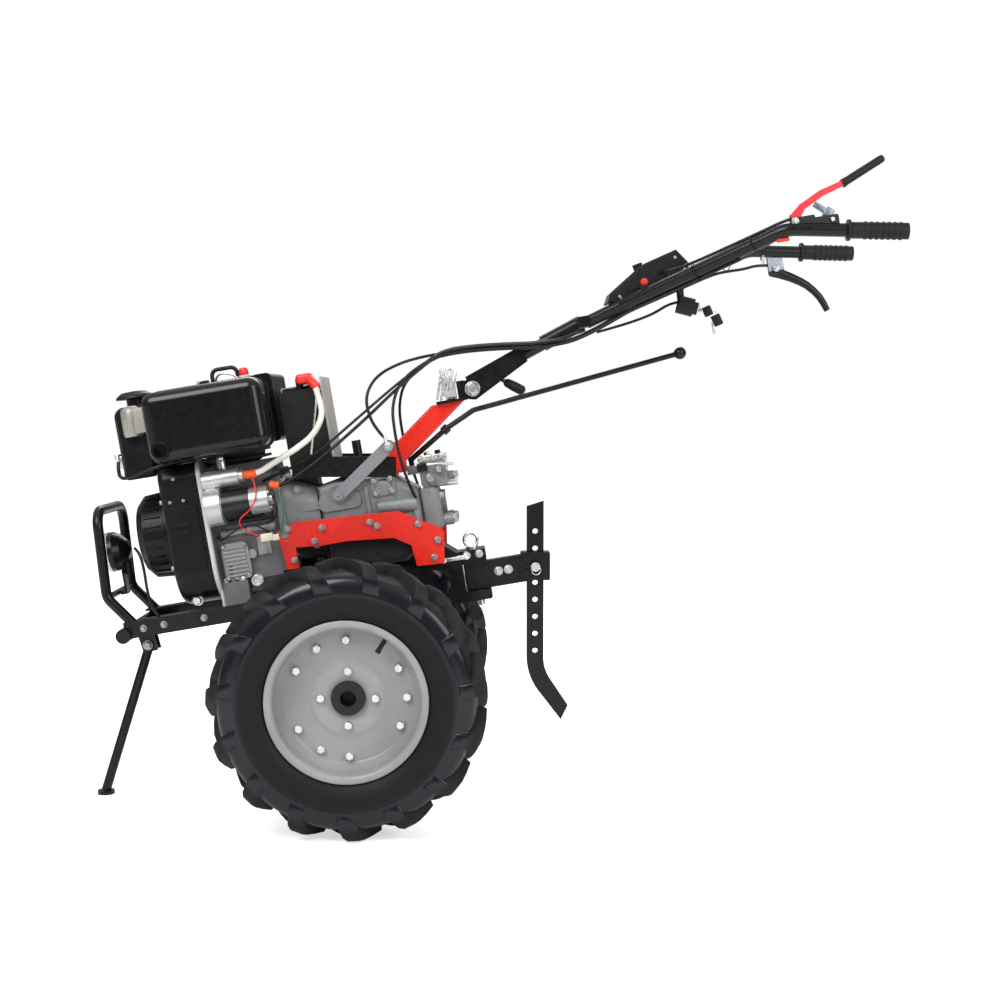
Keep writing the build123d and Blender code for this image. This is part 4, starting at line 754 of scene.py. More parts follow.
    def loft(self, stations: Sequence[Sequence[Vector]]) -> list[list]:
        """Extrude a first outline through the ones that follow, closed at both ends.

        Args:
            stations: Outlines with the same number of points each, in metres.

        Returns:
            The rows of vertices, one per outline.
        """
        face = self.bm.faces.new([self.bm.verts.new(spot) for spot in stations[0]])
        rows = [list(face.verts)]
        for spots in stations[1:]:
            face = bmesh.ops.extrude_discrete_faces(self.bm, faces=[face])["faces"][0]
            rows.append(list(face.verts))
            for vert, spot in zip(rows[-1], spots):
                vert.co = spot
        self.bm.faces.new(rows[0])
        return rows

    def ring(self, centre: Place, axis: Vector, major: float, minor: float, steps: int = 32) -> None:
        """Add a wire ring.

        Args:
            centre: Centre of the ring.
            axis: Axis of the ring.
            major: Radius of the ring.
            minor: Radius of the wire.
            steps: Steps of the full turn.
        """
        turns = [k * math.tau / WIRE_SIDES for k in range(WIRE_SIDES)]
        wire = [(major + minor * math.cos(turn), minor * math.sin(turn)) for turn in turns]
        self.turned(centre, axis, wire, steps, closed=True)


@dataclass(frozen=True)
class Cord:
    """A cable, wire or pipe on a smooth spline through chassis spots. Its radius is in millimetres."""

    name: str
    radius: float
    route: Sequence[Spot]
    finish: Finish = CABLE_JACKET

    def piece(self) -> bpy.types.Object:
        """Make the cord.

        Returns:
            The cord's object, on no body yet.
        """
        curve = bpy.data.curves.new(self.name + "_route", "CURVE")
        curve.dimensions = "3D"
        spline = curve.splines.new("NURBS")
        spline.points.add(len(self.route) - 1)
        for point, spot in zip(spline.points, self.route):
            point.co = (*VIEW.at(*spot), 1.0)
        spline.order_u = 3
        spline.use_endpoint_u = True
        spline.resolution_u = 6
        curve.bevel_depth = self.radius * MM
        curve.bevel_resolution = 2
        curve.use_fill_caps = True
        carrier = bpy.data.objects.new(self.name + "_route", curve)
        bpy.context.scene.collection.objects.link(carrier)
        graph = bpy.context.evaluated_depsgraph_get()
        mesh = bpy.data.meshes.new_from_object(carrier.evaluated_get(graph))
        mesh.name = self.name
        bpy.data.objects.remove(carrier)
        bpy.data.curves.remove(curve)
        return hang(self.name, mesh, self.finish, CORD_SMOOTH)

    def hold(self, body: Body) -> None:
        """Make the cord, held by one body all the way."""
        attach(self.piece(), body.value)
        log.info("%s on %s", self.name, body.value)

    def bridge(self, start: Spot, end: Spot) -> None:
        """Make the cord, held by no body.

        Args:
            start: Not used.
            end: Not used.
        """
        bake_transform(self.piece())
        log.info("%s bends between chassis and handlebar", self.name)


class LugStation(NamedTuple):
    """Section of a tread lug in millimetres: its place, half width, and the tuck and radius of its foot."""

    axial: float
    top: float
    slip: float
    half: float
    tuck: float
    root: float


@dataclass
class Wheel:
    """One lugged wheel: tyre, dished rim, hub and bolts, turning on its axle."""

    side: Side
    axle: Spot = (0.2763, 0.34, 0.284)
    lugs: int = 15
    foot_spread: float = 3.0
    wall: Outline = (
        (152.6, 50.6), (167, 51.2), (169.2, 54.6), (172.6, 57.6), (176, 58.4), (178.4, 61.2), (181.6, 62.4),
        (192, 65.8), (206, 68), (216, 68.9), (218.6, 70.2), (222, 70.2), (224.4, 69.2), (234, 68.8),
        (245, 66.4), (254, 61), (259, 50), (262, 30), (263, 0))
    lug: tuple[LugStation, ...] = tuple(LugStation(*row) for row in (
        (-7, 279, 27, 9, 0, 252), (-3.5, 282.6, 25, 12.125, 0, 255.6), (20, 283.4, 9, 12.75, 0, 256.4),
        (42, 283, -6, 13.375, 0, 256), (56, 280.5, -15.5, 14, 4, 253.5), (66, 272, -21.5, 14.625, 8, 241),
        (71.2, 258, -26, 15.25, 11, 227), (72, 242, -27.5, 15.875, 11, 214),
        (70.4, 228, -28, 16.5, 11, 214)))
    pressing: Outline = (
        (163, 55.9), (157, 55.5), (152.5, 54), (149.4, 50.6), (148.2, 46), (147.6, 34), (146.4, 21),
        (143.2, 14.5), (139.5, 10.5), (136, 5), (133.4, 1.4), (130, 0.1), (84, 0), (79, 0.8), (76, 2.2),
        (72, 2.6), (36, 2.6), (34.8, 1.6), (34.8, -6), (129, -6), (140, -8), (146.4, -14), (147.4, -22),
        (147.4, -46), (148.4, -50.4), (151, -53.6), (156, -55.4), (163, -55.9), (165.2, -54.6),
        (165.4, -52.4), (164, -51.2), (154.4, -50.9), (152.4, -49.4), (152.4, -34), (152.4, 34),
        (152.4, 49.4), (154.4, 50.9), (164, 51.2), (165.4, 52.4), (165.2, 54.6))
    rim_bolts: tuple[float, ...] = (1, 31, 92, 122, 152, 212, 242, 271, 332)
    hub_bolts: tuple[float, ...] = (0, 90, 180, 270)
    valve_angle: float = 58.0

    @property
    def body(self) -> Body:
        """Body that the wheel is."""
        return Body.WHEEL_LEFT if self.side is Side.LEFT else Body.WHEEL_RIGHT

    @property
    def tag(self) -> str:
        """Side in lower case, for names."""
        return self.side.name.lower()

    @property
    def centre(self) -> Vector:
        """Middle of the wheel."""
        return Vector((self.axle[0], self.axle[1] * self.side.value, self.axle[2]))

    @property
    def outward(self) -> Vector:
        """Direction from the gearbox along the axle."""
        return LEFTWARD * self.side.value

    def spot(self, radius: float, axial: float, turn: float, slip: float = 0.0) -> Vector:
        """Point of the wheel.

        Args:
            radius: Distance from the axle in millimetres.
            axial: Distance outward of the wheel's middle in millimetres.
            turn: Angle in radians.
            slip: Distance along the tread in millimetres.

        Returns:
            The point in metres.
        """
        ray = Vector((math.cos(turn), 0.0, -math.sin(turn)))
        run = Vector((math.sin(turn), 0.0, math.cos(turn)))
        flat = math.sqrt(radius * radius - slip * slip)
        return self.centre + (ray * flat - run * slip + self.outward * axial) * MM

    def tread_lug(self, bench: Bench, turn: float, half: int) -> None:
        """Add one slanted lug that runs from the crown over the shoulder.

        Args:
            bench: Piece in the making.
            turn: Angle of the lug in radians.
            half: Side of the tread, +1 outer or -1 inner.
        """
        loops = []
        for cut in self.lug:
            foot, spread = cut.axial - cut.tuck, cut.half + self.foot_spread
            corners = ((cut.root, foot, -spread), (cut.top, cut.axial, -cut.half),
                       (cut.top, cut.axial, cut.half), (cut.root, foot, spread))
            loops.append([self.spot(r, a * half, turn, cut.slip + s) for r, a, s in corners])
        rows = bench.loft(loops)
        edge = bench.bm.edges.get
        rails = [edge((near[k], far[k])) for near, far in zip(rows, rows[1:]) for k in (1, 2)]
        bench.soften(rails + [edge((end[1], end[2])) for end in (rows[0], rows[-1])], 2.2, 2)

    def tyre(self) -> None:
        """Make the carcass and its two rows of lugs."""
        outline = [(r, -a) for r, a in self.wall] + [(r, a) for r, a in reversed(self.wall[:-1])]
        pitch = math.tau / self.lugs
        with Bench(f"tyre_{self.tag}_rubber", RUBBER, self.body, f"tyre_{self.tag}", 42.0) as bench:
            bench.turned(self.centre, self.outward, outline, 120, closed=True)
            for k in range(self.lugs):
                self.tread_lug(bench, k * pitch, 1)
                self.tread_lug(bench, (k + 0.5) * pitch, -1)

    def rim(self) -> None:
        """Make the rolled rim with its pressed disc."""
        with Bench(f"rim_{self.tag}_pressing", RIM_PAINT, self.body, f"rim_{self.tag}", 44.0) as bench:
            bench.turned(self.centre, self.outward, self.pressing, 96, closed=True)

    def fastenings(self) -> None:
        """Make the rim bolts, the hub bolts and the valve."""
        with Bench(f"wheel_{self.tag}_bolts", ZINC, self.body) as bench:
            for radius, axial, angles in ((119, 0, self.rim_bolts), (55.5, 2.6, self.hub_bolts)):
                for angle in angles:
                    seat = self.spot(radius, axial, math.pi + math.radians(angle))
                    bench.bolt(seat, self.outward, 16.5, 9.5)
        turn = math.pi + math.radians(self.valve_angle)
        foot, neck, tip = (self.spot(*place, turn) for place in ((146, 26), (124, 30), (114, 31.8)))
        with Bench(f"wheel_{self.tag}_valve", BLACK_PLASTIC, self.body) as valve:
            valve.rod(foot, neck, 4.8, 16, 1)
            valve.rod(neck, tip, 5.8, 16, 1.4)

    def build(self) -> None:
        """Make and dress the whole wheel."""
        self.tyre()
        self.rim()
        self.fastenings()
        # The half shafts wear near-black iron so their ends in the hub bores read dark: painted shade in the
        # bores. The hubs are black.
        dress(DARK_IRON_AND_PAINTED_SHADE, f"hub_{self.tag}", f"half_shaft_{self.tag}")


@dataclass
class Chassis:
    """Gearbox, side plates, rails, front guard, stand and hitch."""

    body: Body = Body.CHASSIS
    plate_bolts: Outline = (
        (-20, 335), (84, 330), (98, 319), (186, 309), (-93, 345), (-40, 309), (-90, 275), (208, 232),
        (222, 268))
    case_bolts: Outline = ((106, 388), (142, 416), (106, 416), (142, 388), (-62, 424), (-40, 300))
    rail_bolts: Outline = ((-436, 185), (-391, 186), (-303, 186), (-150, 185), (-100, 185))
    drive_bolts: Outline = ((84, 214), (-40, 214), (70, 180), (-38, 180))
    joints: tuple[tuple[float, float, float, float], ...] = ((-20, 92.2, 262, 420), (196, 70, 292, 374))

    def dress_solids(self) -> None:
        """Give the chassis solids their finishes."""
        # The final drive wears near-black iron: painted shade under the red plates.
        dress(DARK_IRON_AND_PAINTED_SHADE, "final_drive")
        # The gearbox case and clutch bell are near-black low down: painted shade from their finish.
        dress(GEAR_ALLOY_PAINTED_SHADE, "clutch_bell", "gearbox_case")
        dress(ALLOY, "gearbox_rear", "shift_box")
        dress(RED_PAINT, "side_plate_left", "side_plate_right", "column")
        dress(BLACK_PAINT, "cross_tube", "rail_left", "rail_right", "front_guard", "stand_bracket",
              "stand_leg", "hitch_bracket", "coulter", "drawbar", "gear_lever", "clamp_head", "headlamp")
        dress(ZINC, "hitch_pin", "coulter_pin")
        dress(GREY_PAINT, "clutch_arm")
        dress(GLASS, "headlamp_lens")

    def bolts(self) -> None:
        """Make the bolts that hold the plates, the gearbox and the rails."""
        with Bench("chassis_bolts", DULL_ZINC, self.body) as bench:
            bench.bolts(abreast(118, *self.plate_bolts), LEFTWARD, 10.8, 7, 7.8, both=True)
            bench.bolts(abreast(92, *self.case_bolts), LEFTWARD, 12, 8, 9, both=True)
            bench.bolts(abreast(128, *self.rail_bolts), LEFTWARD, 10.5, 7, 7.8, both=True)
            bench.bolts(abreast(58, *self.drive_bolts), LEFTWARD, 12, 8, 9, both=True)
            bench.bolts([(-94, 82, 288), (-94, 82, 448)], CLEAR_AFT, 13, 9, 10, both=True)
            bench.bolts([(262, 48, 304)], CLEAR_AFT, 19, 10, both=True)
            bench.bolts([(-245, 119, 252), (-208, 119, 252)], UPWARD, 12.5, 8, 9.5, both=True)
            bench.bolts([(-459, 24, 135)], LEFTWARD, 16.5, 9, 11.5, both=True)
            bench.bolts([(240, 52, 360), (240, 30, 296)], CLEAR_AFT, 12, 8, 9, both=True)
            bench.bolt((278, 22, 398), CLEAR_AFT, 16, 9)
            bench.bolt((226, 62, 400), LEFTWARD, 18, 8)
            bench.bolt((248, 62, 416), LEFTWARD, 13, 8)
            bench.bolt((224, -20, 448), UPWARD, 13, 8)

    def joint_lines(self) -> None:
        """Make the dark gasket lines of the gearbox joints."""
        with Bench("gearbox_gaskets", BLACK_PLASTIC, self.body) as bench:
            for aft, left, low, high in self.joints:
                for side in Side:
                    bench.block((aft, side.value * left, (low + high) / 2), (1.6, 2, high - low))

    def clutch_fork(self) -> None:
        """Make the bolt heads of the clutch arm and its cable fork."""
        with Bench("clutch_arm_fastenings", ZINC, self.body) as bench:
            bench.bolt((151, 116, 485), LEFTWARD, 14, 8, 10.5)
            bench.bolt((26, 110, 397), LEFTWARD, 8, 4)
            bench.rod((150, 121, 487), (146, 122, 512), 3.8, 14, 0.8)

    def selector(self) -> None:
        """Make the gear selector's link, rods and stops at the top of the shift box."""
        with Bench("selector_link", ZINC, self.body) as link:
            link.block((238, 40, 442), (62, 6, 16), 2)
            link.block((264, 32, 428), (7, 22, 34), 2)
            link.bolts([(212, 43, 442), (240, 43, 442), (262, 43, 442)], LEFTWARD, 11, 7, 8)
            link.rod((196, 46, 432), (282, 46, 424), 4.2, 16, 1)
            link.rod((230, -20, 384), (284, -20, 380), 8.5, 20, 2)
        with Bench("selector_stops", BLACK_PAINT, self.body) as stops:
            stops.block((212, 50, 426), (22, 16, 18), 3)
            stops.rod((250, 22, 432), (250, 22, 458), 6.5, 18, 2)

    def hitch(self) -> None:
        """Make the drawbar's set bolts, the spring clips and the side rods."""
        with Bench("hitch_fastenings", ZINC, self.body) as bench:
            bench.bolts([(340, 14, 168), (362, 14, 168)], LEFTWARD, 13, 8, 10, both=True)
            bench.bolts([(222, 52, 215.5), (272, 52, 215.5)], CLEAR_AFT, 13, 7, both=True)
            bench.bolts([(276, 38, 216), (304, 38, 216)], LEFTWARD, 12, 7, 9, both=True)
            for side in Side:
                bench.rod((214, side.value * 52, 216), (281, side.value * 52, 214), 4.8, 16, 1)
            bench.ring((422.5, 36.5, 158), LEFTWARD, 10, 1.1)
            bench.ring((290, 10, 96), FORWARD, 8, 1)

    def lamp(self) -> None:
        """Make the headlamp's bright ring and its cable."""
        with Bench("headlamp_ring", STEEL, self.body) as ring:
            ring.turned((-512, 0, 352), FORWARD, (
                (40.2, -4), (40.2, 1), (41.6, 2.2), (43.6, 1.8), (44.6, 0.2), (44.9, -6),
                (44.3, -6.6), (44, -4)), 56, closed=True)
        Cord("headlamp_cable", 3.2, (
            (-455, 0, 352), (-444, 6, 342), (-438, 18, 300), (-436, 34, 262), (-428, 60, 232),
            (-416, 88, 214), (-404, 104, 203))).hold(self.body)

    def build(self) -> None:
        """Make and dress the whole chassis."""
        for step in (self.dress_solids, self.bolts, self.joint_lines, self.clutch_fork, self.selector,
                     self.hitch, self.lamp):
            step()


@dataclass
class Engine:
    """Open single-cylinder diesel with its starter, battery, muffler and leads."""

    body: Body = Body.CHASSIS
    starter: tuple[float, float] = (144, 418)
    recoil_up: float = 371
    recoil_reach: float = 103.5
    starter_reach: float = 21
    fuel_lines: tuple[Cord, ...] = (
        Cord("injection_pipe", 2.6, (
            (-214, 100, 524), (-214, 100, 545), (-190, 96, 572), (-150, 92, 600), (-138, 76, 640),
            (-142, 50, 668), (-150, 40, 664), (-150, 40, 648)), STEEL),
        Cord("fuel_hose", 4, (
            (-440, 58, 554), (-444, 64, 530), (-434, 92, 508), (-392, 118, 514), (-330, 124, 527),
            (-262, 112, 526), (-226, 104, 512), (-216, 100, 500))))
    leak_off: Cord = Cord("leak_off_pipe", 2.4, (
        (-206, 36, 672), (-205, 38, 688), (-194, 40, 702), (-174, 42, 700), (-156, 44, 690),
        (-148, 46, 676), (-144, 48, 652)), STEEL)
    wires: tuple[Cord, ...] = (
        Cord("starter_wire", 1.6, (
            (-144, 152, 470), (-134, 176, 440), (-150, 182, 404), (-188, 174, 384), (-180, 160, 360),
            (-148, 152, 340)), RED_RUBBER),
        Cord("charge_wire", 1.8, (
            (-96, 146, 442), (-88, 158, 410), (-92, 160, 372), (-102, 154, 344),
            (-110, 151, 334)), GREEN_WIRE),
        Cord("ground_wire", 1.8, (
            (-116, 148, 436), (-104, 164, 420), (-100, 160, 392), (-112, 140, 372), (-132, 109, 366))),
        Cord("stop_wire", 1.8, (
            (-128, 151, 346), (-146, 164, 366), (-176, 166, 372), (-212, 160, 356), (-240, 132, 342),
            (-246, 112, 352))))

    def dress_solids(self) -> None:
        """Give the engine solids their finishes."""
        dress(BLACK_HOUSING, "fan_housing", "recoil_starter", "air_cleaner")
        dress(CRANK_ALLOY, "crankcase")
        dress(PALE_ALLOY, "side_cover")
        dress(DARK_IRON_AND_PAINTED_SHADE, "cylinder", "cylinder_head")
        dress(SOOT_PAINT, "muffler")
        dress(BLACK_PAINT, "fuel_tank", "battery_tray")
        dress(BLACK_PLASTIC, "fuel_cap", "battery")
        dress(PLATE_PAINT, "battery_plate")
        dress(SATIN, "starter_solenoid")
        dress(WHITE_JACKET, "starter_lead")
        dress(STARTER_FINISH, "starter_motor")

    def boots(self) -> None:
        """Make the rubber boots and the valve-lift cap."""
        with Bench("starter_boots", ORANGE_RUBBER, self.body) as boots:
            boots.rod((-166, 144, 476), (-134, 144, 476), 9.5, 20, 3)
            boots.rod((-112, 144, 448), (-92, 144, 440), 8.5, 20, 3)
        with Bench("battery_boot", RED_RUBBER, self.body) as boot:
            boot.block((-6, 80, 659), (36, 34, 22), 7)
            boot.turned((4, 88, 657), VIEW.at(22, 110, 634) - VIEW.at(4, 88, 657), (
                (0, -2), (9, -2), (11.5, 4), (10.5, 20), (8.6, 34), (7.4, 36), (0, 36)), 24)
        with Bench("valve_lift_cap", RED_RUBBER, self.body) as cap:
            cap.turned((-140, 36, 690), UPWARD, (
                (0, 0), (10.5, 0), (11, 3), (10.2, 11), (7.6, 16), (0, 17)), 28)
        with Bench("valve_lift_collar", CREAM_PLASTIC, self.body) as collar:
            collar.turned((-140, 36, 660), UPWARD, (
                (11.2, 0), (12.4, 1), (12.4, 28), (11.4, 30), (11.1, 30), (11.1, 0)), 28, closed=True)

    def small_parts(self) -> None:
        """Make the connectors, the fuel cock, the battery's hold-down, the pump fittings and fuel lines."""
        with Bench("wire_connector", CREAM_PLASTIC, self.body) as joint:
            joint.block((-135, 151, 337), (26, 14, 17), 2)
            joint.block((-116, 151, 334), (14, 11, 13), 1.5)
        with Bench("fuel_cock", ZINC, self.body) as cock:
            cock.bolt((-438, 58, 556), FORWARD, 17, 8)
            cock.block((-432, 66, 546), (8, 5, 26), 1.6)
        with Bench("battery_hold_down", ZINC, self.body) as rods:
            for side in Side:
                rods.rod((20, side.value * 99, 632), (-18, side.value * 99, 494), 2.8, 12, 0.6)
            rods.bolts([(20, 99, 630)], UPWARD, 10, 6, 8, both=True)
            rods.bolts([(-20, 69, 660)], UPWARD, 11, 6, 8, both=True)
        with Bench("injection_fittings", STEEL, self.body) as pump:
            pump.rod((-214, 100, 486), (-214, 100, 516), 12, 20, 2)
            pump.bolts([(-214, 100, 516), (-150, 40, 640)], UPWARD, 16, 10)
            pump.bolts([(-232, 56, 640), (-160, 56, 640)], UPWARD, 14, 11, 10.5, both=True)
        for cord in self.fuel_lines:
            cord.hold(self.body)

    def top_end(self) -> None:
        """Make the rocker cover, the heat shield, the black band below the starter (partly a bracket, partly
        painted shade), the oil gallery and the drain plug.
        """
        with Bench("rocker_cover", SATIN, self.body) as cover:
            cover.block((-226, 22, 662), (50, 70, 46), 7)
            cover.block((-236, 26, 689), (20, 24, 12), 3)
        with Bench("heat_shield", SHIELD_METAL, self.body) as shield:
            shield.turned((-388, 92, 596), UPWARD, (
                (0, 0), (20, 0), (22, 5), (22, 52), (19, 61), (12, 66), (0, 67)), 36)
            shield.block((-364, 112, 628), (30, 4, 54), 1.5)
        self.leak_off.hold(self.body)
        # A black block below the starter: partly a bracket, partly painted shade of the recess under the
        # starter.
        with Bench("starter_bracket_and_shade", BLACK_PAINT, self.body) as bracket_and_shade:
            bracket_and_shade.block((-178, 111, 381), (118, 12, 16), 3)
            bracket_and_shade.block((-130, 112, 398), (20, 12, 40), 3)
        with Bench("oil_gallery", PALE_ALLOY, self.body) as gallery:
            gallery.rod((-236, 110, 356), (-118, 110, 358), 8.5, 24, 2)
            for aft in (-232, -176, -126):
                gallery.rod((aft - 6, 110, 356.4), (aft + 6, 110, 356.6), 11.2, 24, 2)
            gallery.block((-150, 110, 318), (30, 10, 42), 4)
            gallery.bolts([(-150, 115, 304), (-150, 115, 332)], LEFTWARD, 9, 5)
        with Bench("oil_drain", ZINC, self.body) as plug:
            plug.turned((-178, 106, 246), LEFTWARD, (
                (0, 0), (14, 0), (14, 9), (12, 11), (8, 11), (8, 7), (0, 7)), 28)
            plug.bolt((-312, 112, 224), LEFTWARD, 16, 12, 12)

    def bolts(self) -> None:
        """Make the bolts of the housings and covers, and the recoil starter's cap."""
        with Bench("engine_bolts", DULL_ZINC, self.body) as bench:
            bench.bolts(abreast(147, (-311, 492), (-326, 444), (-297, 444)), LEFTWARD, 7.5, 6, both=True)
            bench.bolts(abreast(122, (-236, 261), (-236, 329), (-190, 261), (-190, 329)), LEFTWARD, 9.5, 7)
            for turn in map(math.radians, (45, 135, 225, 315)):
                left, rise = self.recoil_reach * math.cos(turn), self.recoil_reach * math.sin(turn)
                bench.bolt((-358, left, self.recoil_up + rise), FORWARD, 10, 6, 7.5)
            for turn in map(math.radians, (40, 160, 280)):
                left, up = self.starter_reach * math.cos(turn), self.starter_reach * math.sin(turn)
                bench.bolt((-117, self.starter[0] + left, self.starter[1] + up), CLEAR_AFT, 8, 5)
            bench.bolt((-96, -140, 660), UPWARD, 14, 12, 13)
        with Bench("recoil_cap", BLACK_PLASTIC, self.body) as cap:
            cap.turned((-426, 0, self.recoil_up), FORWARD, (
                (0, 5), (14, 5), (20, 3.6), (23, 0), (23, -2), (0, -2)), 40)

    def build(self) -> None:
        """Make and dress the whole engine."""
        self.dress_solids()
        self.boots()
        self.small_parts()
        self.top_end()
        for cord in self.wires:
            cord.hold(self.body)
        self.bolts()


@dataclass
class Handlebar:
    """Tilting handlebar with its grips, levers, control box, key and cables."""

    body: Body = Body.HANDLEBAR
    blend_start: Spot = (215, 0, 640)
    blend_end: Spot = (470, 0, 660)
    tube_foot: Spot = (700, 60, 703)
    tube_slope: tuple[float, float] = (0.4971, 0.2601)
    run: tuple[Spot, ...] = (
        (660, 44, 671), (614, 35, 656), (570, 31, 646), (500, 29, 647), (430, 29, 657), (360, 28, 664),
        (300, 27, 665))
    blade: tuple[Spot, ...] = (
        (1094, 737, 12.5), (1112, 729.5, 12), (1137, 716, 10.6), (1158, 702.5, 9.8), (1173, 690.5, 9.2),
        (1187, 675, 8.8), (1198, 659, 8.4), (1206, 641, 8), (1211.6, 624, 7.2))
    blade_left: float = -240
    blade_thick: float = 8.2
    blade_sides: int = 16

    def along_bar(self, inward: float, below: float, *afts: float, side: Side = Side.LEFT) -> list[Spot]:
        """Spots beside a handlebar tube ahead of its bend.

        Args:
            inward: Millimetres towards the centre plane from the tube's centre line.
            below: Millimetres below the centre line.
            *afts: Millimetres aft of the axle.
            side: Side of the tube.

        Returns:
            The chassis spots.
        """
        foot, (spread, climb) = self.tube_foot, self.tube_slope
        return [(aft, side.value * (foot[1] + (aft - foot[0]) * spread - inward),
                 foot[2] + (aft - foot[0]) * climb - below) for aft in afts]

    def beside_run(self, aft: float, left: float, up: float, first: int = 0) -> list[Spot]:
        """Spots at an offset from the cables' common run, from one of its spots on."""
        return [(a + aft, b + left, c + up) for a, b, c in self.run[first:]]

    def dress_solids(self) -> None:
        """Give the handlebar solids their finishes."""
        dress(BLACK_PAINT, "handlebar_arm", "bar_left", "bar_right")
        dress(GRIP_RUBBER, "grip_left", "grip_right")
        dress(BLACK_PLASTIC, "control_box", "key_switch")
        dress(CLUTCH_FINISH, "clutch_lever")
        dress(STEERING_FINISH, "steering_lever")

    def clamp(self) -> None:
        """Make the bright toothed post, the tilt bolt's heads and the clamp handle."""
        with Bench("clamp_fastenings", ZINC, Body.CHASSIS) as bench:
            bench.bolts([(350, 21.6, 578)], LEFTWARD, 26.5, 13.5, 17.5, both=True)
            bench.bolts([(282, 24, 562)], UPWARD, 12, 7, 9, both=True)
            bench.block((298, 0, 597), (29, 28, 69), 2)
            for k in range(5):
                bench.block((279 + 8 * k, 0, 600 - 1.5 * k), (4.2, 31, 70 - 3 * k), 0.8, lean=-9)
        start, end = VIEW.at(424, -22, 582), VIEW.at(463, -37, 553)
        with Bench("clamp_handle", BLACK_PLASTIC, self.body) as handle:
            handle.turned(start, end - start, (
                (0, 0), (7, 0), (10, 5), (11.6, 26), (11, 46), (7, 50.5), (0, 51)), 24)

    def steering_blade(self) -> None:
        """Make the curved blade of the steering-clutch lever."""
        turns = [k * math.tau / self.blade_sides for k in range(self.blade_sides)]
        loops = []
        for index, (aft, up, reach) in enumerate(self.blade):
            before, after = self.blade[max(0, index - 1)], self.blade[min(len(self.blade) - 1, index + 1)]
            run = Vector((after[0] - before[0], after[1] - before[1])).normalized() * reach
            loops.append([VIEW.at(
                aft - run.y * math.cos(turn), self.blade_left + self.blade_thick * math.sin(turn),
                up + run.x * math.cos(turn)) for turn in turns])
        with Bench("steering_blade", BLACK_PAINT, self.body, smooth=CORD_SMOOTH) as blade:
            blade.loft(loops)

    def levers(self) -> None:
        """Make the clutch lever's sleeve, latch and pivots, the blade and the small red tab under the bar."""
        start, end = VIEW.at(1174, 230, 866.6), VIEW.at(1265, 230, 905.2)
        with Bench("clutch_lever_sleeve", GRIP_RUBBER, self.body) as sleeve:
            sleeve.turned(start, end - start, (
                (0, -2), (8.6, -2), (9.4, 2), (8.4, 8), (8.2, 92), (7.4, 97), (5, 99.6), (0, 100)), 28)
        with Bench("clutch_latch", LATCH_STEEL, self.body) as latch:
            latch.block((1122, 230, 824), (34, 12, 11), 2, lean=-32)
            latch.block((1136, 230, 812), (18, 15, 20), 2, lean=-32)
        self.steering_blade()
        with Bench("lever_pins", ZINC, self.body) as pins:
            for side in Side:
                sign, out = side.value, LEFTWARD * side.value
                pins.bolt((1064, 230 + sign * 10, 806), out, 11.5, 6, 8)
                pins.bolt((1140, 230 + sign * 10, 797), out, 9.5, 5)
                pins.bolt((1104, self.blade_left + sign * 16, 741), out, 10.5, 6, 7.5)
            pins.ring((1078, -241, 776), FORWARD, 15.6, 2.2)
        with Bench("throttle_tab", RED_RUBBER, self.body) as tab:
            tab.block((1036, 226, 773), (26, 10, 8), 2)

    def key(self) -> None:
        """Make the key in the switch, its spare on a ring, the stop button and the box's screws."""
        with Bench("key_ring", ZINC, self.body) as ring:
            ring.turned((864, 48, 668.5), CLEAR_AFT * 0.916 - UPWARD * 0.4, (
                (9, 0), (14.4, 0), (14.4, 1.6), (12, 2.6), (9, 1.4)), 32, closed=True)
            ring.block((873, 48, 665), (20, 3, 9), 0.4)
            ring.ring((897, 48, 650), LEFTWARD, 8, 1.1)
            ring.block((893, 50.6, 622), (6, 2.6, 28), 0.4)
        with Bench("key_bows", BLACK_PLASTIC, self.body) as bows:
            bows.block((886, 48, 660), (20, 7, 22), 3, lean=24)
            bows.block((903, 50.6, 637), (21, 7, 25), 3, lean=24)
        with Bench("stop_button", RED_RUBBER, self.body) as knob:
            knob.turned((758, 60, 744), LEFTWARD, (
                (0, 0), (8.6, 0), (8.6, 3), (7, 3.4), (7, 8), (5.4, 9.6), (0, 10)), 28)
        with Bench("control_box_screws", ZINC, self.body) as lid:
            lid.bolts(abreast(62, (700, 722), (832, 786), (848, 760)), LEFTWARD, 6.5, 2.4, both=True)

    def control_cables(self) -> list[Cord]:
        """Lay out the control cables that run across the tilt joint.

        Returns:
            The five cables, from the handlebar down.
        """
        clutch = [(1056, 214, 800), *self.along_bar(13, 13, 1030, 960, 880, 800, 730), *self.run,
                  (262, 30, 666), (205, 52, 660), (150, 92, 640), (120, 116, 600), (122, 122, 552),
                  (138, 123, 516), (146, 122, 506)]
        left = [*self.along_bar(0, 17.5, 950), *self.along_bar(4, 18, 880, 800, 730),
                *self.beside_run(3, 8, -4), (262, 44, 655), (200, 76, 622), (172, 104, 570),
                (170, 120, 510), (172, 122, 452), (182, 116, 392), (190, 98, 364)]
        throttle = [*self.beside_run(2, 2, 8, 1), (262, 40, 654), (194, 78, 617), (122, 106, 572),
                    (51, 120, 528), (2, 122, 498), (-67, 122, 472), (-106, 122, 462), (-128, 109, 456)]
        loom = [*self.beside_run(0, 7, 5, 2), (258, 46, 648), (190, 84, 606), (120, 112, 556), (51, 128, 512),
                (2, 132, 482), (-50, 134, 456), (-88, 134, 440), (-106, 146, 440)]
        right = [(1090, -240, 752), (1060, -236, 757), (1029, -222, 752), (990, -203, 752),
                 *self.along_bar(3, 18, 950, 880, 800, 730, side=Side.RIGHT),
                 *((aft, -b, up) for aft, b, up in self.beside_run(3, 0, 0)),
                 (262, -38, 655), (200, -72, 622), (176, -100, 570), (172, -116, 510), (176, -118, 452),
                 (186, -112, 392), (192, -98, 364)]
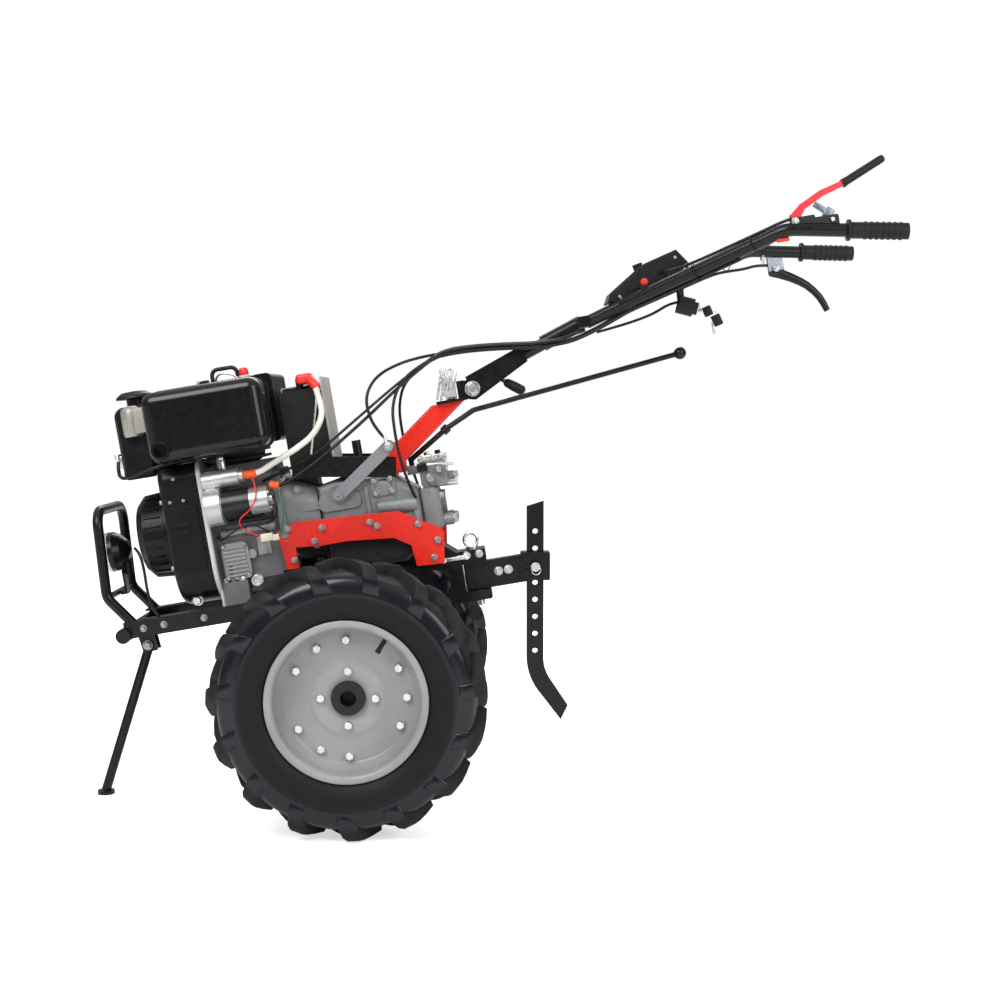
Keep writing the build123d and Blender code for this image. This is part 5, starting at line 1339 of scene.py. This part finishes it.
        return [Cord("clutch_cable", 3.4, clutch), Cord("steering_cable_left", 3.4, left),
                Cord("throttle_cable", 3, throttle), Cord("switch_loom", 3.6, loom),
                Cord("steering_cable_right", 3.4, right)]

    def cables(self) -> None:
        """Make the control cables and the two that stay on the handlebar."""
        for cord in self.control_cables():
            cord.bridge(self.blend_start, self.blend_end)
        Cord("bar_cable", 3.4, (
            (1058, 234, 812), (1044, 231, 811), (1000, 209, 799), (930, 174, 781), (870, 144, 766),
            (820, 112, 756), (800, 80, 758), (796, 60, 760))).hold(self.body)
        Cord("switch_lead", 3, (
            (828, 48, 690), (806, 48, 690), (770, 44, 674), (720, 38, 664), (670, 34, 658),
            (640, 34, 655))).hold(self.body)

    def ties(self) -> None:
        """Make the plastic ties round the tubes and cables."""
        slope = VIEW.at(900, 159.4, 755) - VIEW.at(*self.tube_foot)
        with Bench("cable_ties", BLACK_PLASTIC, self.body) as bench:
            for side in Side:
                axis = Vector((slope.x, slope.y * side.value, slope.z))
                for spot in self.along_bar(0, 2.5, 860, 980, side=side):
                    bench.ring(spot, axis, 19.4, 1.1, 40)

    def build(self) -> None:
        """Make and dress the whole handlebar."""
        for step in (self.dress_solids, self.clamp, self.levers, self.key, self.cables, self.ties):
            step()


@dataclass
class Studio:
    """White studio: pale floor, soft lamps and the camera of the photograph."""

    eye: Spot = (-0.001, 3.40, 0.887)
    aim: Spot = (-0.0345, 0.0, 0.6636)
    lens: float = 54.83
    sensor: float = 36.0
    floor_half: float = 14.0
    floor_glow: float = 0.58
    horizon: float = 0.09
    ceiling: float = 0.8
    ceiling_from: float = 0.85

    def world(self) -> None:
        """Light the room from a bright ceiling over darker walls, with a white ground behind the machine."""
        world = bpy.data.worlds.new("studio")
        bpy.context.scene.world = world
        world.use_nodes = True
        tree = world.node_tree
        tree.nodes.clear()
        sky = add_node(tree, "SeparateXYZ", {"Vector": add_node(tree, "TexCoord").outputs["Generated"]})
        level = add_node(tree, "MapRange", {
            "Value": sky.outputs["Z"], "From Min": 0.0, "From Max": self.ceiling_from, "To Min": self.horizon,
            "To Max": self.ceiling})
        lit = add_node(tree, "Background", {"Color": WHITE, "Strength": level.outputs["Result"]})
        seen = add_node(tree, "Background", {"Color": WHITE, "Strength": 1.0})
        mix = add_node(tree, "MixShader", {
            "Fac": add_node(tree, "LightPath").outputs["Is Camera Ray"], 1: lit.outputs["Background"],
            2: seen.outputs["Background"]})
        add_node(tree, "OutputWorld", {"Surface": mix.outputs["Shader"]})

    def floor(self) -> None:
        """Lay a pale floor that keeps the machine's shadow."""
        mesh = bpy.data.meshes.new("studio_floor")
        made = bmesh.new()
        bmesh.ops.create_grid(made, x_segments=1, y_segments=1, size=self.floor_half)
        made.to_mesh(mesh)
        made.free()
        book = NodeBook("studio floor")
        seen = add_node(book.tree, "LightPath").outputs["Is Camera Ray"]
        tone = book.clouds(0.7, 3.0, (0.3, 0.9), (0.7, 0.94))
        book.wear(base_color=tone, roughness=0.9, specular_ior_level=0.1)
        book.wear(emission_color=WHITE, emission_strength=book.maths("MULTIPLY", seen, self.floor_glow))
        plane = bpy.data.objects.new("studio_floor", mesh)
        bpy.context.scene.collection.objects.link(plane)
        mesh.materials.append(book.material)

    @staticmethod
    def aimed(name: str, data: bpy.types.ID, spot: Spot, target: Spot) -> bpy.types.Object:
        """Put a lamp or camera in its place.

        Args:
            name: Name of the object.
            data: Lamp or camera data.
            spot: Place in metres.
            target: Point it faces.

        Returns:
            The object.
        """
        thing = bpy.data.objects.new(name, data)
        thing.location = spot
        thing.rotation_euler = (Vector(target) - Vector(spot)).to_track_quat("-Z", "Y").to_euler()
        bpy.context.scene.collection.objects.link(thing)
        return thing

    def lamp(self, name: str, spot: Spot, target: Spot, size: float, power: float) -> None:
        """Hang one soft lamp.

        Args:
            name: Name of the lamp.
            spot: Place in metres.
            target: Point it faces.
            size: Side of its square in metres.
            power: Watts.
        """
        data = bpy.data.lights.new(name, "AREA")
        data.size = size
        data.energy = power
        self.aimed(name, data, spot, target)

    def camera(self) -> None:
        """Set the camera where the photograph was taken."""
        data = bpy.data.cameras.new("photo_camera")
        data.lens = self.lens
        data.sensor_width = self.sensor
        bpy.context.scene.camera = self.aimed("photo_camera", data, self.eye, self.aim)

    def build(self) -> None:
        """Set up the whole studio."""
        self.world()
        self.floor()
        self.lamp("key_lamp", (1.6, 2.6, 3.0), (0.1, 0.0, 0.6), 2.0, 92.0)
        self.lamp("fill_lamp", (-2.4, 2.6, 2.0), (-0.2, 0.0, 0.6), 2.0, 52.0)
        self.lamp("back_lamp", (0.2, -2.6, 2.8), (0.0, 0.0, 0.6), 2.4, 60.0)
        self.camera()
        bpy.context.scene.view_settings.view_transform = "Standard"


def main() -> None:
    """Build the machine and its studio."""
    logging.basicConfig(level=logging.INFO)
    for part in (Wheel(Side.LEFT), Wheel(Side.RIGHT), Chassis(), Engine(), Handlebar(), Studio()):
        part.build()


if __name__ == "__main__":
    main()
